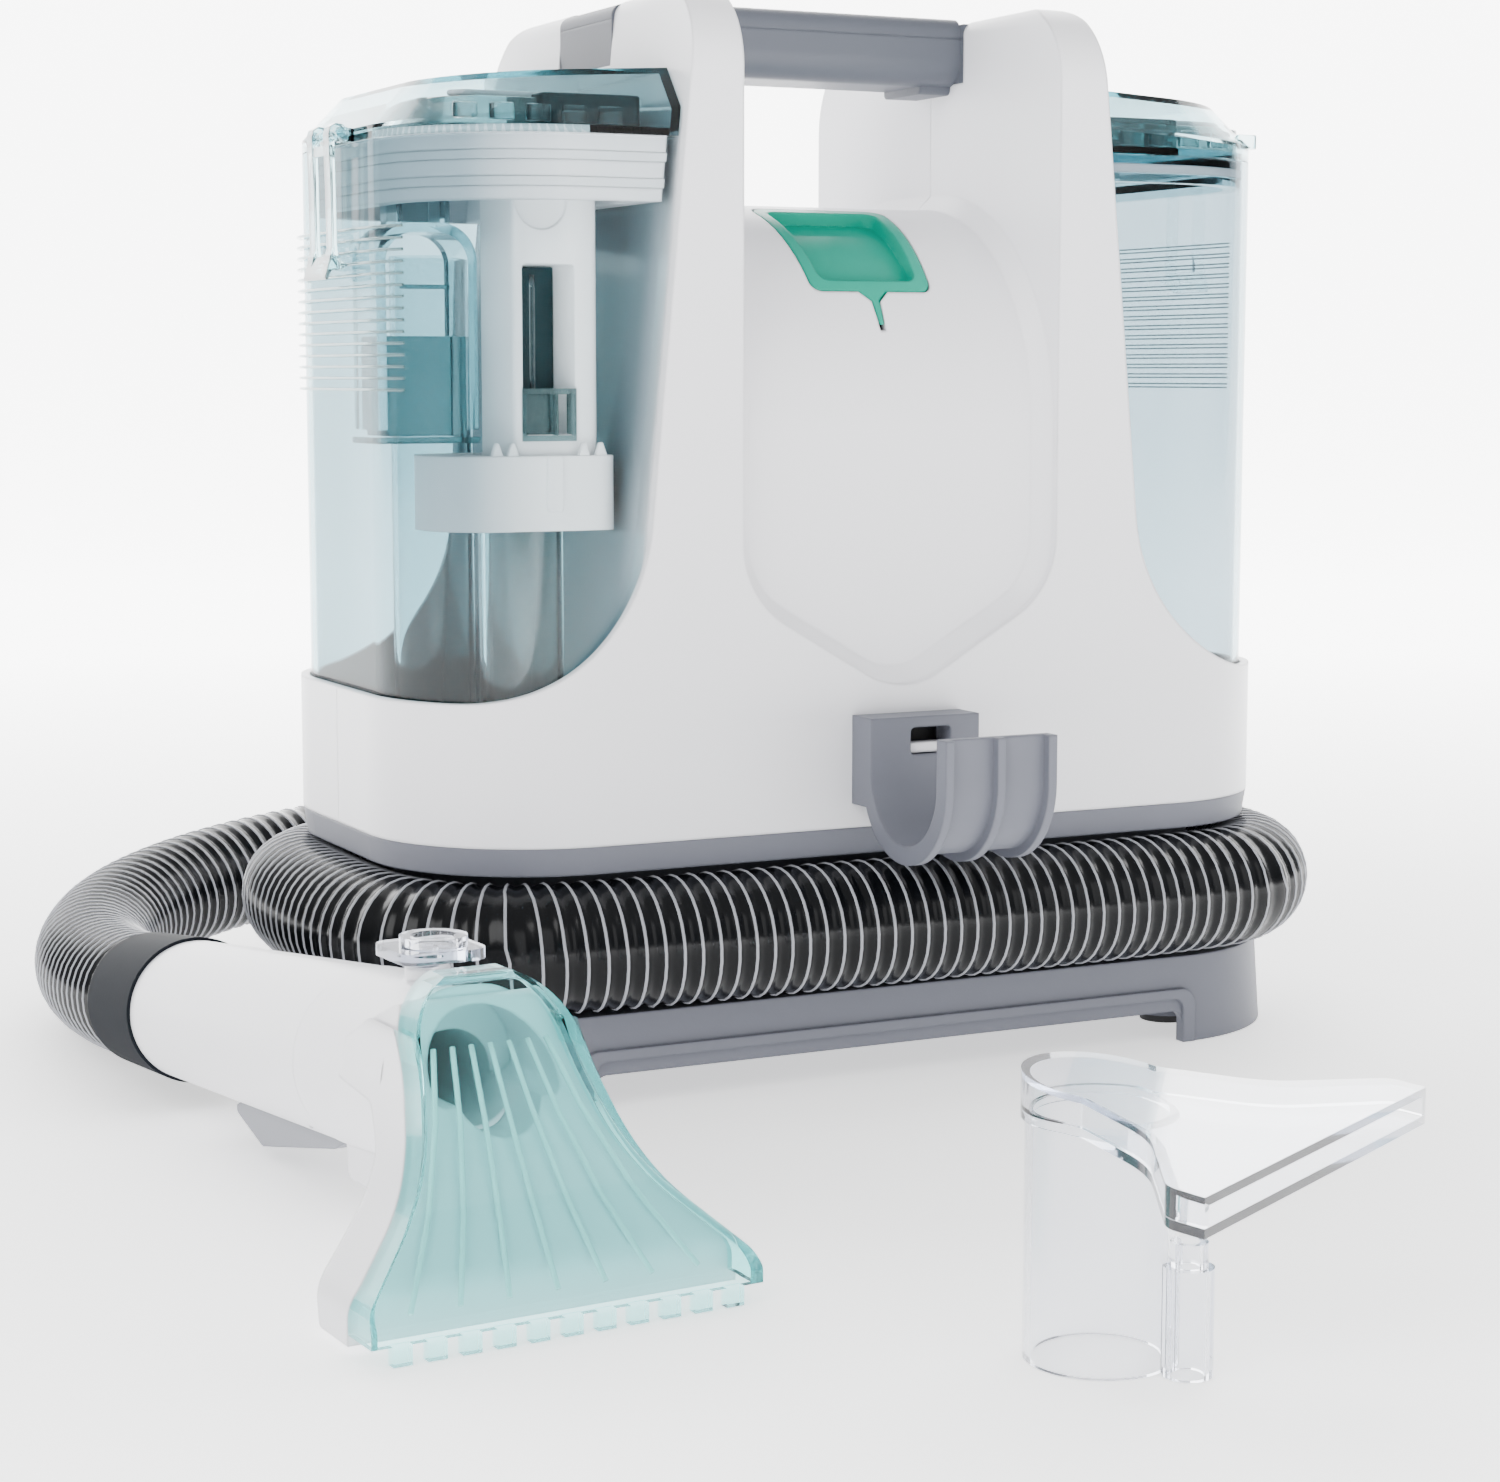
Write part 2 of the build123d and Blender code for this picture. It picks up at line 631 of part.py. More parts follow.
for side, name in ((-1, "dirty_lid"), (1, "clean_lid")):
    cover_form = lid_cover_form(side)
    with BuildPart() as cover:
        add(cover_form)
        with BuildSketch(Plane.XZ.offset(-latch_half - 4)):
            with Locations((side * pivot_x, pivot_z)):
                Circle(pin_r)
        extrude(amount=2 * latch_half + 8)
        for start in (-latch_half - 4, latch_half + 0.5):
            with BuildSketch(Plane.XZ.offset(start)):
                wall_x = body_length / 2 - tank_inset
                closed([(side * (wall_x - 1), lid_bottom), (side * (pivot_x + 1.5), lid_bottom),
                        (side * (pivot_x + 2.8), pivot_z), (side * (pivot_x + 1), pivot_z + 1.8),
                        (side * (wall_x - 1), lid_bottom + 4)])
            extrude(amount=3.5)
    print(name, "cover", cover.part.volume, len(cover.solids()), cover.part.is_valid)
    save(cover, name + "_cover")
    frame_form = lid_frame_form(side)
    with BuildPart() as lid_frame:
        add(frame_form)
    print(name, "frame", lid_frame.part.volume, len(lid_frame.solids()), lid_frame.part.is_valid)
    save(lid_frame, name + "_frame")
    with BuildPart() as lid_seal:
        for low in groove_heights[side]:
            outside = tank_block(side, plug_inset - 0.3, low + 0.1, low + groove_width - 0.1, plug_gap - 0.3)
            add(outside - tank_block(side, plug_inset + groove_depth, low, low + groove_width,
                                     plug_gap + groove_depth))
    save(lid_seal, name + "_seal")

# what hangs from the dirty lid: the inlet separator, its float and a baffle box
column_size = (36, 34)
column_at = (-116.5, -46)
column_bottom = 178
column_wall = 2.5
plate_z = lid_bottom - plate_thick
with BuildPart() as separator_column:
    with BuildSketch(Plane.XY.offset(column_bottom)):
        with Locations(column_at):
            RectangleRounded(column_size[0], column_size[1], 4)
            RectangleRounded(column_size[0] - 2 * column_wall, column_size[1] - 2 * column_wall, 1.5,
                             mode=Mode.SUBTRACT)
    extrude(amount=plate_z - column_bottom)
    with BuildSketch(Plane.XY.offset(column_bottom)):
        with Locations((column_at[0] - 0.7, column_at[1])):
            RectangleRounded(43, 39, 7)
        with Locations(column_at):
            RectangleRounded(column_size[0] - 2 * column_wall, column_size[1] - 2 * column_wall, 1.5,
                             mode=Mode.SUBTRACT)
    extrude(amount=2.5)
    with BuildSketch(Plane.XZ.offset(-column_at[1] + 10)):
        with Locations((column_at[0] + 2, 244)):
            RectangleRounded(12, 52, 3)
    extrude(amount=12, mode=Mode.SUBTRACT)
save(separator_column, "separator_column")

float_z = (182, 205.5)
float_travel = 44
with BuildPart() as float_ring:
    with BuildSketch(Plane.XY.offset(float_z[0])):
        closed([(-151, -68), (-93.2, -68), (-93.2, -24), (-151, -24)], [18, 6, 6, 18])
        with Locations(column_at):
            RectangleRounded(column_size[0] + 3, column_size[1] + 3, 5, mode=Mode.SUBTRACT)
    extrude(amount=float_z[1] - float_z[0])
save(float_ring, "float_ring")

with BuildPart() as baffle_box:
    with BuildSketch(Plane.XZ.offset(20)):
        closed([(-156, 213), (-122, 213), (-122, 279), (-156, 279)], [0, 0, 12, 12])
        closed([(-153, 213), (-125, 213), (-125, 276), (-153, 276)], [0, 0, 10, 10], Mode.SUBTRACT)
    extrude(amount=-22)
    with BuildSketch(Plane.XY.offset(278)):
        with Locations((-139, -9)):
            Rectangle(18, 16)
            Rectangle(13, 11, mode=Mode.SUBTRACT)
    extrude(amount=plate_z - 278)
save(baffle_box, "baffle_box")

# latches on the outer ends of the lids
for side, name in ((-1, "dirty"), (1, "clean")):
    with BuildPart() as latch:
        with BuildSketch(Plane.XZ.offset(-latch_half)) as outline:
            with Locations((side * pivot_x, pivot_z)):
                Circle(2.8)
            closed([(side * (pivot_x + x), z) for x, z in
                    ((0, pivot_z), (0, 268), (-1.6, 266.5), (-1.6, 264), (3.4, 262), (4.2, 263),
                     (2.4, 268), (2.4, pivot_z))])
            with Locations((side * pivot_x, pivot_z)):
                Circle(pin_r + 0.06, mode=Mode.SUBTRACT)
        extrude(amount=2 * latch_half)
    save(latch, name + "_latch")

# valve in the clean tank's floor
seat_top = 99
seat_r = 15
poppet_r = 8
poppet_guide_r = 2
valve_travel = 4
cage_plate_z = 106
with BuildPart() as valve_seat:
    with BuildSketch(Plane.XY.offset(tank_bottom)):
        with Locations(valve_at):
            Circle(valve_bore_r)
    extrude(amount=seat_top - tank_bottom)
    with BuildSketch(Plane.XY.offset(tank_bottom_inside)):
        with Locations(valve_at):
            Circle(seat_r)
    extrude(amount=seat_top - tank_bottom_inside)
    with BuildSketch(Plane.XY.offset(tank_bottom)):
        with Locations(valve_at):
            Circle(5)
    extrude(amount=seat_top - tank_bottom, mode=Mode.SUBTRACT)
with BuildPart() as valve_housing:
    add(valve_seat.part)
    with BuildSketch(Plane.XY.offset(seat_top)):
        with Locations(valve_at):
            Circle(seat_r)
            Circle(seat_r - 3, mode=Mode.SUBTRACT)
            Rectangle(40, 12, mode=Mode.SUBTRACT)
            Rectangle(12, 40, mode=Mode.SUBTRACT)
    extrude(amount=cage_plate_z - seat_top)
    with BuildSketch(Plane.XY.offset(cage_plate_z)):
        with Locations(valve_at):
            Circle(seat_r)
            Circle(poppet_guide_r + 0.06, mode=Mode.SUBTRACT)
    extrude(amount=2.5)
save(valve_housing, "valve_housing")

with BuildPart() as valve_poppet:
    for low, high, r in ((93, seat_top, 3.5), (seat_top, seat_top + 2.5, poppet_r),
                         (seat_top + 2.5, cage_plate_z + 4, poppet_guide_r)):
        with BuildSketch(Plane.XY.offset(low)):
            with Locations(valve_at):
                Circle(r)
        extrude(amount=high - low)
save(valve_poppet, "valve_poppet")

with BuildPart() as valve_spring:
    with BuildSketch(Plane.XY.offset(seat_top + 2.5)):
        with Locations(valve_at):
            Circle(4.6)
            Circle(3.4, mode=Mode.SUBTRACT)
    extrude(amount=cage_plate_z - seat_top - 2.5)
save(valve_spring, "valve_spring")

with BuildPart() as port_seals:
    for at, inner, outer in ((inlet_pipe_at, 11, 15.5), (air_pipe_at, 10.5, 15.5), (valve_at, 5.5, 12)):
        with BuildSketch(Plane.XY.offset(tray_floor)):
            with Locations(at):
                Circle(outer)
                Circle(inner, mode=Mode.SUBTRACT)
        extrude(amount=1.3)
save(port_seals, "port_seals")

# ---------------------------------------------------------------- inside the body
with BuildPart() as inlet_duct:
    tube([(socket_x, 65, groove_z), (socket_x, 52, groove_z), (socket_x, 30, 43.5),
          (inlet_pipe_at[0], inlet_pipe_at[1], 43.5), (inlet_pipe_at[0], inlet_pipe_at[1], tray_floor)],
         [12, 12, 24], inlet_duct_r, inlet_duct_r - duct_wall)
save(inlet_duct, "inlet_duct")

fan_at = (0, 8)
housing_bottom = 118
housing_top = 160
housing_r = 58
air_duct_z = 68
with BuildPart() as air_duct:
    tube([(air_pipe_at[0], air_pipe_at[1], tray_floor), (air_pipe_at[0], air_pipe_at[1], air_duct_z),
          (fan_at[0], fan_at[1], air_duct_z), (fan_at[0], fan_at[1], housing_bottom)],
         [20, 20], air_duct_r, air_duct_r - duct_wall)
save(air_duct, "air_duct")

bracket_z = 108
post_at = [(-72, -69), (72, -69), (-72, 69), (72, 69)]
with BuildPart() as motor_bracket:
    with BuildSketch(Plane.XY.offset(bracket_z)):
        with Locations((0, 1)):
            Rectangle(168, 150)
        with Locations(fan_at):
            Circle(30, mode=Mode.SUBTRACT)
    extrude(amount=4)
    with BuildSketch(Plane.XY.offset(skirt_bottom + wall)):
        with Locations(*post_at):
            Circle(5)
    extrude(amount=bracket_z - skirt_bottom - wall)
save(motor_bracket, "motor_bracket")

with BuildPart() as fan_housing:
    with BuildSketch(Plane.XY.offset(housing_bottom)):
        with Locations(fan_at):
            Circle(housing_r)
    extrude(amount=housing_top - housing_bottom)
    with BuildSketch(Plane.XY.offset(housing_bottom + wall)):
        with Locations(fan_at):
            Circle(housing_r - wall)
    extrude(amount=housing_top - housing_bottom - 2 * wall, mode=Mode.SUBTRACT)
    with BuildSketch(Plane.XY.offset(housing_bottom)):
        with Locations(fan_at):
            Circle(9)
    extrude(amount=wall, mode=Mode.SUBTRACT)
    with BuildSketch(Plane.XY.offset(housing_top - wall)):
        with Locations(fan_at):
            Circle(12)
    extrude(amount=wall, mode=Mode.SUBTRACT)
    with BuildSketch(Plane.XZ.offset(-fan_at[1] - 40)):
        with Locations((0, (housing_bottom + housing_top) / 2)):
            Rectangle(44, 24)
    extrude(amount=-30, mode=Mode.SUBTRACT)
save(fan_housing, "fan_housing")

impeller_r = 50
blade_count = 9
shaft_r = 3
with BuildPart() as impeller:
    for low, high, outer, inner in ((128, 131, impeller_r, 0), (143, 146, impeller_r, 20), (131, 143, 11, 0)):
        with BuildSketch(Plane.XY.offset(low)):
            with Locations(fan_at):
                Circle(outer)
                if inner:
                    Circle(inner, mode=Mode.SUBTRACT)
        extrude(amount=high - low)
    with BuildSketch(Plane.XY.offset(131)):
        with Locations(fan_at):
            with PolarLocations(31, blade_count):
                Rectangle(34, 2, rotation=24)
    extrude(amount=12)
    with BuildSketch(Plane.XY.offset(124)):
        with Locations(fan_at):
            Circle(shaft_r)
    extrude(amount=46)
save(impeller, "impeller")

with BuildPart() as vacuum_motor:
    with BuildSketch(Plane.XY.offset(housing_top)):
        with Locations(fan_at):
            Circle(42)
    extrude(amount=60)
    fillet(vacuum_motor.edges().filter_by(GeomType.CIRCLE).group_by(Axis.Z)[-1], 6)
    with BuildSketch(Plane.XY.offset(housing_top + 60)):
        with Locations(fan_at):
            Circle(14)
    extrude(amount=8)
    with BuildSketch(Plane.XY.offset(housing_top)):
        with Locations(fan_at):
            Circle(shaft_r + 0.06)
    extrude(amount=12, mode=Mode.SUBTRACT)
save(vacuum_motor, "vacuum_motor")

pump_y = -20
pump_z = 54
with BuildPart() as water_pump:
    with BuildSketch(Plane.YZ.offset(40)):
        with Locations((pump_y, pump_z)):
            Circle(16)
    extrude(amount=55)
    with BuildSketch(Plane.YZ.offset(95)):
        with Locations((pump_y, pump_z)):
            RectangleRounded(30, 30, 4)
    extrude(amount=30)
save(water_pump, "water_pump")
with BuildPart() as rubber_mounts:
    with BuildSketch(Plane.YZ.offset(52)):
        with Locations((pump_y, (base_top + pump_z) / 2)):
            Rectangle(36, pump_z - base_top)
        with Locations((pump_y, pump_z)):
            Circle(16, mode=Mode.SUBTRACT)
    extrude(amount=30)
    with BuildSketch(Plane.XY.offset(bracket_z + 4)):
        with Locations(fan_at):
            Circle(48)
            Circle(34, mode=Mode.SUBTRACT)
    extrude(amount=housing_bottom - bracket_z - 4)
save(rubber_mounts, "rubber_mounts")

with BuildPart() as water_tubes:
    tube([(valve_at[0], valve_at[1], tray_floor), (valve_at[0], valve_at[1], 80), (110, pump_y, 80),
          (110, pump_y, pump_z + 15)], [5, 5], feed_tube_r, feed_tube_r - 1.5)
    tube([(104, pump_y + 15, 50), (104, 45, 50), (socket_x + inlet_duct_r + 0.2, 45, 50)], 12, 3, 1.8)
save(water_tubes, "water_tubes")

board_y = -70
with BuildPart() as control_board:
    with BuildSketch(Plane.XZ.offset(-board_y)):
        with Locations((0, 150)):
            Rectangle(60, 40)
    extrude(amount=1.6)
    for x, z, wide, high, deep in ((-16, 152, 16, 20, 5), (14, 158, 18, 12, 5), (12, 142, 8, 8, 4)):
        with BuildSketch(Plane.XZ.offset(-board_y)):
            with Locations((x, z)):
                Rectangle(wide, high)
        extrude(amount=-deep)
    with BuildSketch(Plane.XZ.offset(-board_y + 1.6)):
        with Locations((-26, 134), (26, 134), (-26, 166), (26, 166)):
            Circle(3)
    extrude(amount=-panel_y - wall + board_y - 1.6)
save(control_board, "control_board")

slat_pitch = 7
with BuildPart() as exhaust_grille:
    with BuildSketch(Plane.XZ.offset(-body_depth / 2)):
        with Locations((0, sum(grille_z) / 2)):
            Rectangle(2 * grille_half, grille_z[1] - grille_z[0])
            with GridLocations(0, slat_pitch, 1, 5):
                SlotOverall(2 * grille_half - 10, 4, mode=Mode.SUBTRACT)
    extrude(amount=wall)
save(exhaust_grille, "exhaust_grille")
with BuildPart() as exhaust_filter:
    with BuildSketch(Plane.XZ.offset(wall - body_depth / 2)):
        with Locations((0, sum(grille_z) / 2)):
            Rectangle(2 * grille_half + 6, grille_z[1] - grille_z[0] + 4)
    extrude(amount=8)
save(exhaust_filter, "exhaust_filter")

with BuildPart() as cord_gland:
    for start, r, amount in ((-80, gland_r, -6), (-body_depth / 2, 8, -3), (-89, 6, -14)):
        with BuildSketch(Plane.XZ.offset(start)):
            with Locations(gland_at):
                Circle(r)
                Circle(4, mode=Mode.SUBTRACT)
        extrude(amount=amount)
save(cord_gland, "cord_gland")

screw_length = 36
with BuildPart() as screws:
    with BuildSketch(Plane.XZ.offset(-body_depth / 2)):
        with Locations(*case_screw_at):
            Circle(screw_head_r)
    extrude(amount=screw_head_height)
    with BuildSketch(Plane.XZ.offset(-body_depth / 2)):
        with Locations(*case_screw_at):
            Circle(screw_r)
    extrude(amount=screw_length)
    with BuildSketch(Plane.XZ.offset(-body_depth / 2)):
        with Locations(*case_screw_at):
            RegularPolygon(1.6, 6)
    extrude(amount=1.2, mode=Mode.SUBTRACT)
    with BuildSketch(Plane.XY.offset(base_top - 4)):
        with Locations(*base_screw_at):
            Circle(4)
    extrude(amount=-2.4)
    with BuildSketch(Plane.XY.offset(base_top - 4)):
        with Locations(*base_screw_at):
            Circle(base_screw_r)
    extrude(amount=24)
save(screws, "screws")

# ---------------------------------------------------------------- hose, its socket and its cuffs
elbow_r = 19
cuff_r = 22
hose_y = 87.5
machine_cuff_x = (-68, -100)
with BuildPart() as elbow_socket:
    tube([(socket_x, 68, groove_z), (socket_x, hose_y, groove_z), (machine_cuff_x[0], hose_y, groove_z)],
         19, elbow_r, elbow_r - 2)
    with BuildSketch(Plane.XZ.offset(-68)):
        with Locations((socket_x, groove_z)):
            Circle(cuff_r)
            Circle(inlet_duct_r - duct_wall, mode=Mode.SUBTRACT)
    extrude(amount=3)
save(elbow_socket, "elbow_socket")

with BuildPart() as machine_cuff:
    with BuildSketch(Plane.YZ.offset(machine_cuff_x[0])):
        with Locations((hose_y, groove_z)):
            Circle(cuff_r)
            Circle(elbow_r - 2, mode=Mode.SUBTRACT)
    extrude(amount=machine_cuff_x[1] - machine_cuff_x[0])
save(machine_cuff, "machine_cuff")

tool_frame = Plane(origin=(tool_at[0], tool_at[1], 0),
                   x_dir=(cos(radians(tool_yaw)), sin(radians(tool_yaw)), 0), z_dir=(0, 0, 1))
tool_side = Plane(origin=tool_frame.origin, x_dir=tool_frame.y_dir, z_dir=tool_frame.x_dir)
tool_front = Plane(origin=tool_frame.origin, x_dir=tool_frame.x_dir, z_dir=-tool_frame.y_dir)
cuff_end_y = 305
cuff_start_y = 262


def axis_z(y):
    """Height of the barrel's axis at a distance y behind the tool's lip."""
    return barrel_end_z + (barrel_end_y - y) * barrel_slope


hose_end = tool_frame.from_local_coords((0, cuff_end_y, axis_z(cuff_end_y)))
hose_last = tool_frame.from_local_coords((0, cuff_end_y + 44, axis_z(cuff_end_y + 44)))
hose_route = [(machine_cuff_x[1], hose_y, groove_z), (-123.7, 87.5, 52.5), (-150.8, 71.8, 52.5),
              (-166.5, 44.7, 52.5), (-166.5, -44.7, 52.5), (-150.8, -71.8, 52.5), (-123.7, -87.5, 52.5),
              (123.7, -87.5, 52.5), (150.8, -71.8, 52.5), (166.5, -44.7, 52.5), (166.5, 45, 52.8),
              (150, 92, 53), (105, 145, 50), (45, 182, 47), (-25, 205, 44), (-90, 212, 40),
              (-150, 200, 34), (-195, 168, 28), (-221, 118, 23.5),
              (hose_last.X, hose_last.Y, hose_last.Z), (hose_end.X, hose_end.Y, hose_end.Z)]


def bend_radii(route):
    """One radius for each corner: 0.45 of its shorter run over the tangent of half its turn."""
    points = [Vector(*point) for point in route]
    radii = []
    for before, corner, after in zip(points, points[1:], points[2:]):
        turn = radians((corner - before).get_angle(after - corner))
        shorter = min((corner - before).length, (after - corner).length)
        radii.append(0.45 * shorter * cos(turn / 2) / sin(turn / 2))
    return radii


hose_radii = bend_radii(hose_route)
print("hose radii", [round(r, 1) for r in hose_radii])
with BuildPart() as hose:
    with BuildLine() as hose_line:
        FilletPolyline(*hose_route, radius=hose_radii)
    with BuildSketch(Plane(origin=hose_line.line @ 0, z_dir=hose_line.line % 0)):
        Circle(hose_od / 2)
        Circle(hose_od / 2 - hose_wall, mode=Mode.SUBTRACT)
    sweep(path=hose_line.line)
hose_section = 3.14159265 * ((hose_od / 2) ** 2 - (hose_od / 2 - hose_wall) ** 2)
hose_length = sum(edge.length for edge in hose_line.line.edges())
print("hose length", hose_length, "volume over section x length", hose.part.volume / (hose_section * hose_length))
save(hose, "hose")

# ---------------------------------------------------------------- hand tool
barrel_start = tool_frame.from_local_coords((0, cuff_start_y, axis_z(cuff_start_y)))
barrel_towards = tool_frame.from_local_coords((0, 0, axis_z(0)))
barrel_plane = Plane(origin=barrel_start, x_dir=tool_frame.x_dir, z_dir=barrel_towards - barrel_start)
barrel_run = 145
cuff_run = (cuff_end_y - cuff_start_y) * (1 + barrel_slope ** 2) ** 0.5
barrel_wall = 2.5
barrel_r = (22, 24.8)
head_r = 25
suction_r = 14
trigger_pivot = (128, 26.5)
trigger_half = 6.5

with BuildPart() as tool_cuff:
    with BuildSketch(barrel_plane):
        Circle(23)
    with BuildSketch(barrel_plane.offset(-cuff_run)):
        Circle(21.8)
    loft()
    with BuildSketch(barrel_plane):
        Circle(barrel_r[0] - barrel_wall)
    extrude(amount=-50, mode=Mode.SUBTRACT)
save(tool_cuff, "tool_cuff")

with BuildPart() as barrel_form:
    with BuildSketch(barrel_plane):
        Circle(barrel_r[0])
    with BuildSketch(barrel_plane.offset(barrel_run)):
        Circle(barrel_r[1])
    loft()
    with BuildSketch(barrel_plane):
        Circle(barrel_r[0] - barrel_wall)
    with BuildSketch(barrel_plane.offset(barrel_run)):
        Circle(barrel_r[1] - barrel_wall)
    loft(mode=Mode.SUBTRACT)
    with BuildSketch(tool_side.offset(-8)):
        closed([(100, -5), (219, -5), (219, 25), (100, 32)])
    extrude(amount=16, mode=Mode.SUBTRACT)
    with BuildSketch(tool_side.offset(-16)):
        with Locations(trigger_pivot):
            Circle(pin_r)
    extrude(amount=32, mode=Mode.SUBTRACT)

for name, keep in (("barrel_right", Keep.TOP), ("barrel_left", Keep.BOTTOM)):
    with BuildPart() as half:
        add(barrel_form.part)
        split(bisect_by=tool_side, keep=keep)
    print(name, half.part.volume, len(half.solids()))
    save(half, name)

with BuildPart() as trigger_pin:
    with BuildSketch(tool_side.offset(-16)):
        with Locations(trigger_pivot):
            Circle(pin_r)
    extrude(amount=32)
save(trigger_pin, "trigger_pin")

with BuildPart() as trigger:
    with BuildSketch(tool_side.offset(-trigger_half)):
        closed([(214, 11.5), (190, 4.5), (134, 16.5), (124, 21), (123.8, 27), (127, 29.4), (132, 28.9), (142, 22.3),
                (206, 14.8)], [1.5, 6, 6, 2, 3, 1.5, 3, 4, 2])
        with Locations(trigger_pivot):
            Circle(pin_r + 0.06, mode=Mode.SUBTRACT)
    extrude(amount=2 * trigger_half)
save(trigger, "trigger")

with BuildPart() as suction_tube:
    with BuildSketch(barrel_plane):
        Circle(suction_r)
        Circle(suction_r - duct_wall, mode=Mode.SUBTRACT)
    extrude(amount=barrel_run)
    with BuildSketch(barrel_plane):
        Circle(barrel_r[0] - barrel_wall)
        Circle(suction_r - 1, mode=Mode.SUBTRACT)
    extrude(amount=3)
save(suction_tube, "suction_tube")

with BuildPart() as spray_line:
    with BuildSketch(barrel_plane.offset(3)):
        with Locations((16.8, 0)):
            Circle(2.3)
            Circle(1.3, mode=Mode.SUBTRACT)
    extrude(amount=barrel_run - 3)
    with BuildSketch(tool_side.offset(-8)):
        closed([(144, 24), (160, 24), (160, 26.6), (144, 27.6)])
    extrude(amount=16)
save(spray_line, "spray_line")

with BuildPart() as return_springs:
    add(button_spring.part)
    with BuildSketch(tool_frame.offset(21.4)):
        with Locations((0, 192)):
            Circle(3.5)
            Circle(2.3, mode=Mode.SUBTRACT)
    extrude(amount=2)
save(return_springs, "return_springs")

# the head: a short barrel end blended into a fan-shaped foot
fan_front = [(53, 0), (53, 12), (30, 34), (23, 60), (23, 81)]
fan_radii = [0, 8, 50, 60, 20]
with BuildPart() as fan_prism:
    with BuildSketch(tool_front):
        closed(mirrored(fan_front), fan_radii + fan_radii[::-1])
    extrude(amount=130, both=True)
with BuildPart() as flare:
    with BuildSketch(tool_side.offset(-60)):
        closed([(14.3, 2), (32, 2), (33.5, 12), (50, 38), (62, 48), (84, 50), (84, 60), (58.3, 74), (34.3, 40),
                (14.3, 14)], [0, 2, 12, 12, 6, 0, 0, 4, 14, 8])
    extrude(amount=120)
    add(fan_prism.part, mode=Mode.INTERSECT)
with BuildPart() as tool_head:
    with BuildSketch(barrel_plane.offset(barrel_run)):
        Circle(head_r)
    extrude(amount=60)
    add(flare.part)
    with BuildSketch(tool_side.offset(-10)):
        closed([(97, 13), (117, 13), (117, 30), (97, 30)], [4, 4, 0, 0])
    extrude(amount=20)
    with BuildSketch(barrel_plane.offset(barrel_run)):
        Circle(suction_r - duct_wall)
    extrude(amount=110, mode=Mode.SUBTRACT)
    # the arched mouth under the cover's top
    with BuildSketch(tool_front.offset(-72)):
        closed([(-17.5, 49), (17.5, 49), (17.5, 71), (-17.5, 71)], [3, 3, 17, 17])
    extrude(amount=50, mode=Mode.SUBTRACT)
    with BuildSketch(tool_frame.offset(60)):
        with Locations((0, 84)):
            Circle(6, mode=Mode.ADD)
    extrude(amount=16.5)
    with BuildSketch(tool_frame.offset(62)):
        with Locations((0, 84)):
            Circle(3.06)
    extrude(amount=20, mode=Mode.SUBTRACT)
print("head", tool_head.part.volume, len(tool_head.solids()), tool_head.part.is_valid)
save(tool_head, "tool_head")

nozzle_wall = 2.5
tooth_count = 11
tooth_pitch = 9
nozzle_side = [(0, 5), (0, 9), (18, 30), (44, 70), (52, 80), (62, 80), (58, 74), (34, 40), (14, 14), (14, 5)]
nozzle_radii = [0, 3, 12, 10, 3, 0, 4, 14, 8, 0]
nozzle_cavity = [(nozzle_wall, 4), (nozzle_wall, 8.2), (20.3, 28.7), (46.1, 68.2), (53.2, 77.5), (66, 77.5),
                 (66, 4)]
with BuildPart() as nozzle_hollow:
    with BuildSketch(tool_side.offset(-60)):
        closed(nozzle_cavity, [0, 2, 10, 8, 2, 0, 0])
    extrude(amount=120)
    inner_front = [(x - nozzle_wall, z) for x, z in fan_front]
    with BuildSketch(tool_front):
        closed(mirrored(inner_front), fan_radii + fan_radii[::-1])
    extrude(amount=130, both=True, mode=Mode.INTERSECT)
with BuildPart() as nozzle_cover:
    with BuildSketch(tool_side.offset(-60)):
        closed(nozzle_side, nozzle_radii)
    extrude(amount=120)
    add(fan_prism.part, mode=Mode.INTERSECT)
    add(nozzle_hollow.part, mode=Mode.SUBTRACT)
    with BuildSketch(tool_frame):
        with Locations((0, 1.5)):
            with GridLocations(tooth_pitch, 0, tooth_count, 1):
                Rectangle(5, 3)
    extrude(amount=5)
print("nozzle", nozzle_cover.part.volume, len(nozzle_cover.solids()), nozzle_cover.part.is_valid)
save(nozzle_cover, "nozzle_cover")

with BuildPart() as nozzle_latch:
    with BuildSketch(tool_frame.offset(79.5)):
        with Locations((0, 82)):
            RectangleRounded(24, 24, 5)
    extrude(amount=3)
    with BuildSketch(tool_frame.offset(82.5)):
        with Locations((0, 80)):
            Circle(9)
            Circle(6, mode=Mode.SUBTRACT)
    extrude(amount=3)
    with BuildSketch(tool_frame.offset(66)):
        with Locations((0, 84)):
            Circle(3)
    extrude(amount=14)
save(nozzle_latch, "nozzle_latch")

# ---------------------------------------------------------------- spare nozzle
spare_frame = Plane(origin=(spare_at[0], spare_at[1], 0),
                    x_dir=(cos(radians(spare_yaw)), sin(radians(spare_yaw)), 0), z_dir=(0, 0, 1))
spare_side = Plane(origin=spare_frame.origin, x_dir=spare_frame.y_dir, z_dir=spare_frame.x_dir)
spare_tube_r = 18
spare_wall = 2


def spare_fan(inset):
    """Plan of the spare nozzle: a round end that spreads into a wide lip."""
    half = [(59 - inset, -56), (59 - inset, -47 - inset), (30 - inset, -28 - inset), (18 - inset, -4), (17 - inset, 4)]
    radii = [0, 5, 30, 20, 0]
    closed(mirrored(half), radii + radii[::-1])
    Circle(19 - inset)


def spare_wedge(inset, points):
    """The fan plan cut to a side outline."""
    with BuildPart(mode=Mode.PRIVATE) as wedge:
        with BuildSketch(spare_frame):
            spare_fan(inset)
        extrude(amount=90)
        with BuildSketch(spare_side):
            closed(points)
        extrude(amount=70, both=True, mode=Mode.INTERSECT)
    return wedge.part


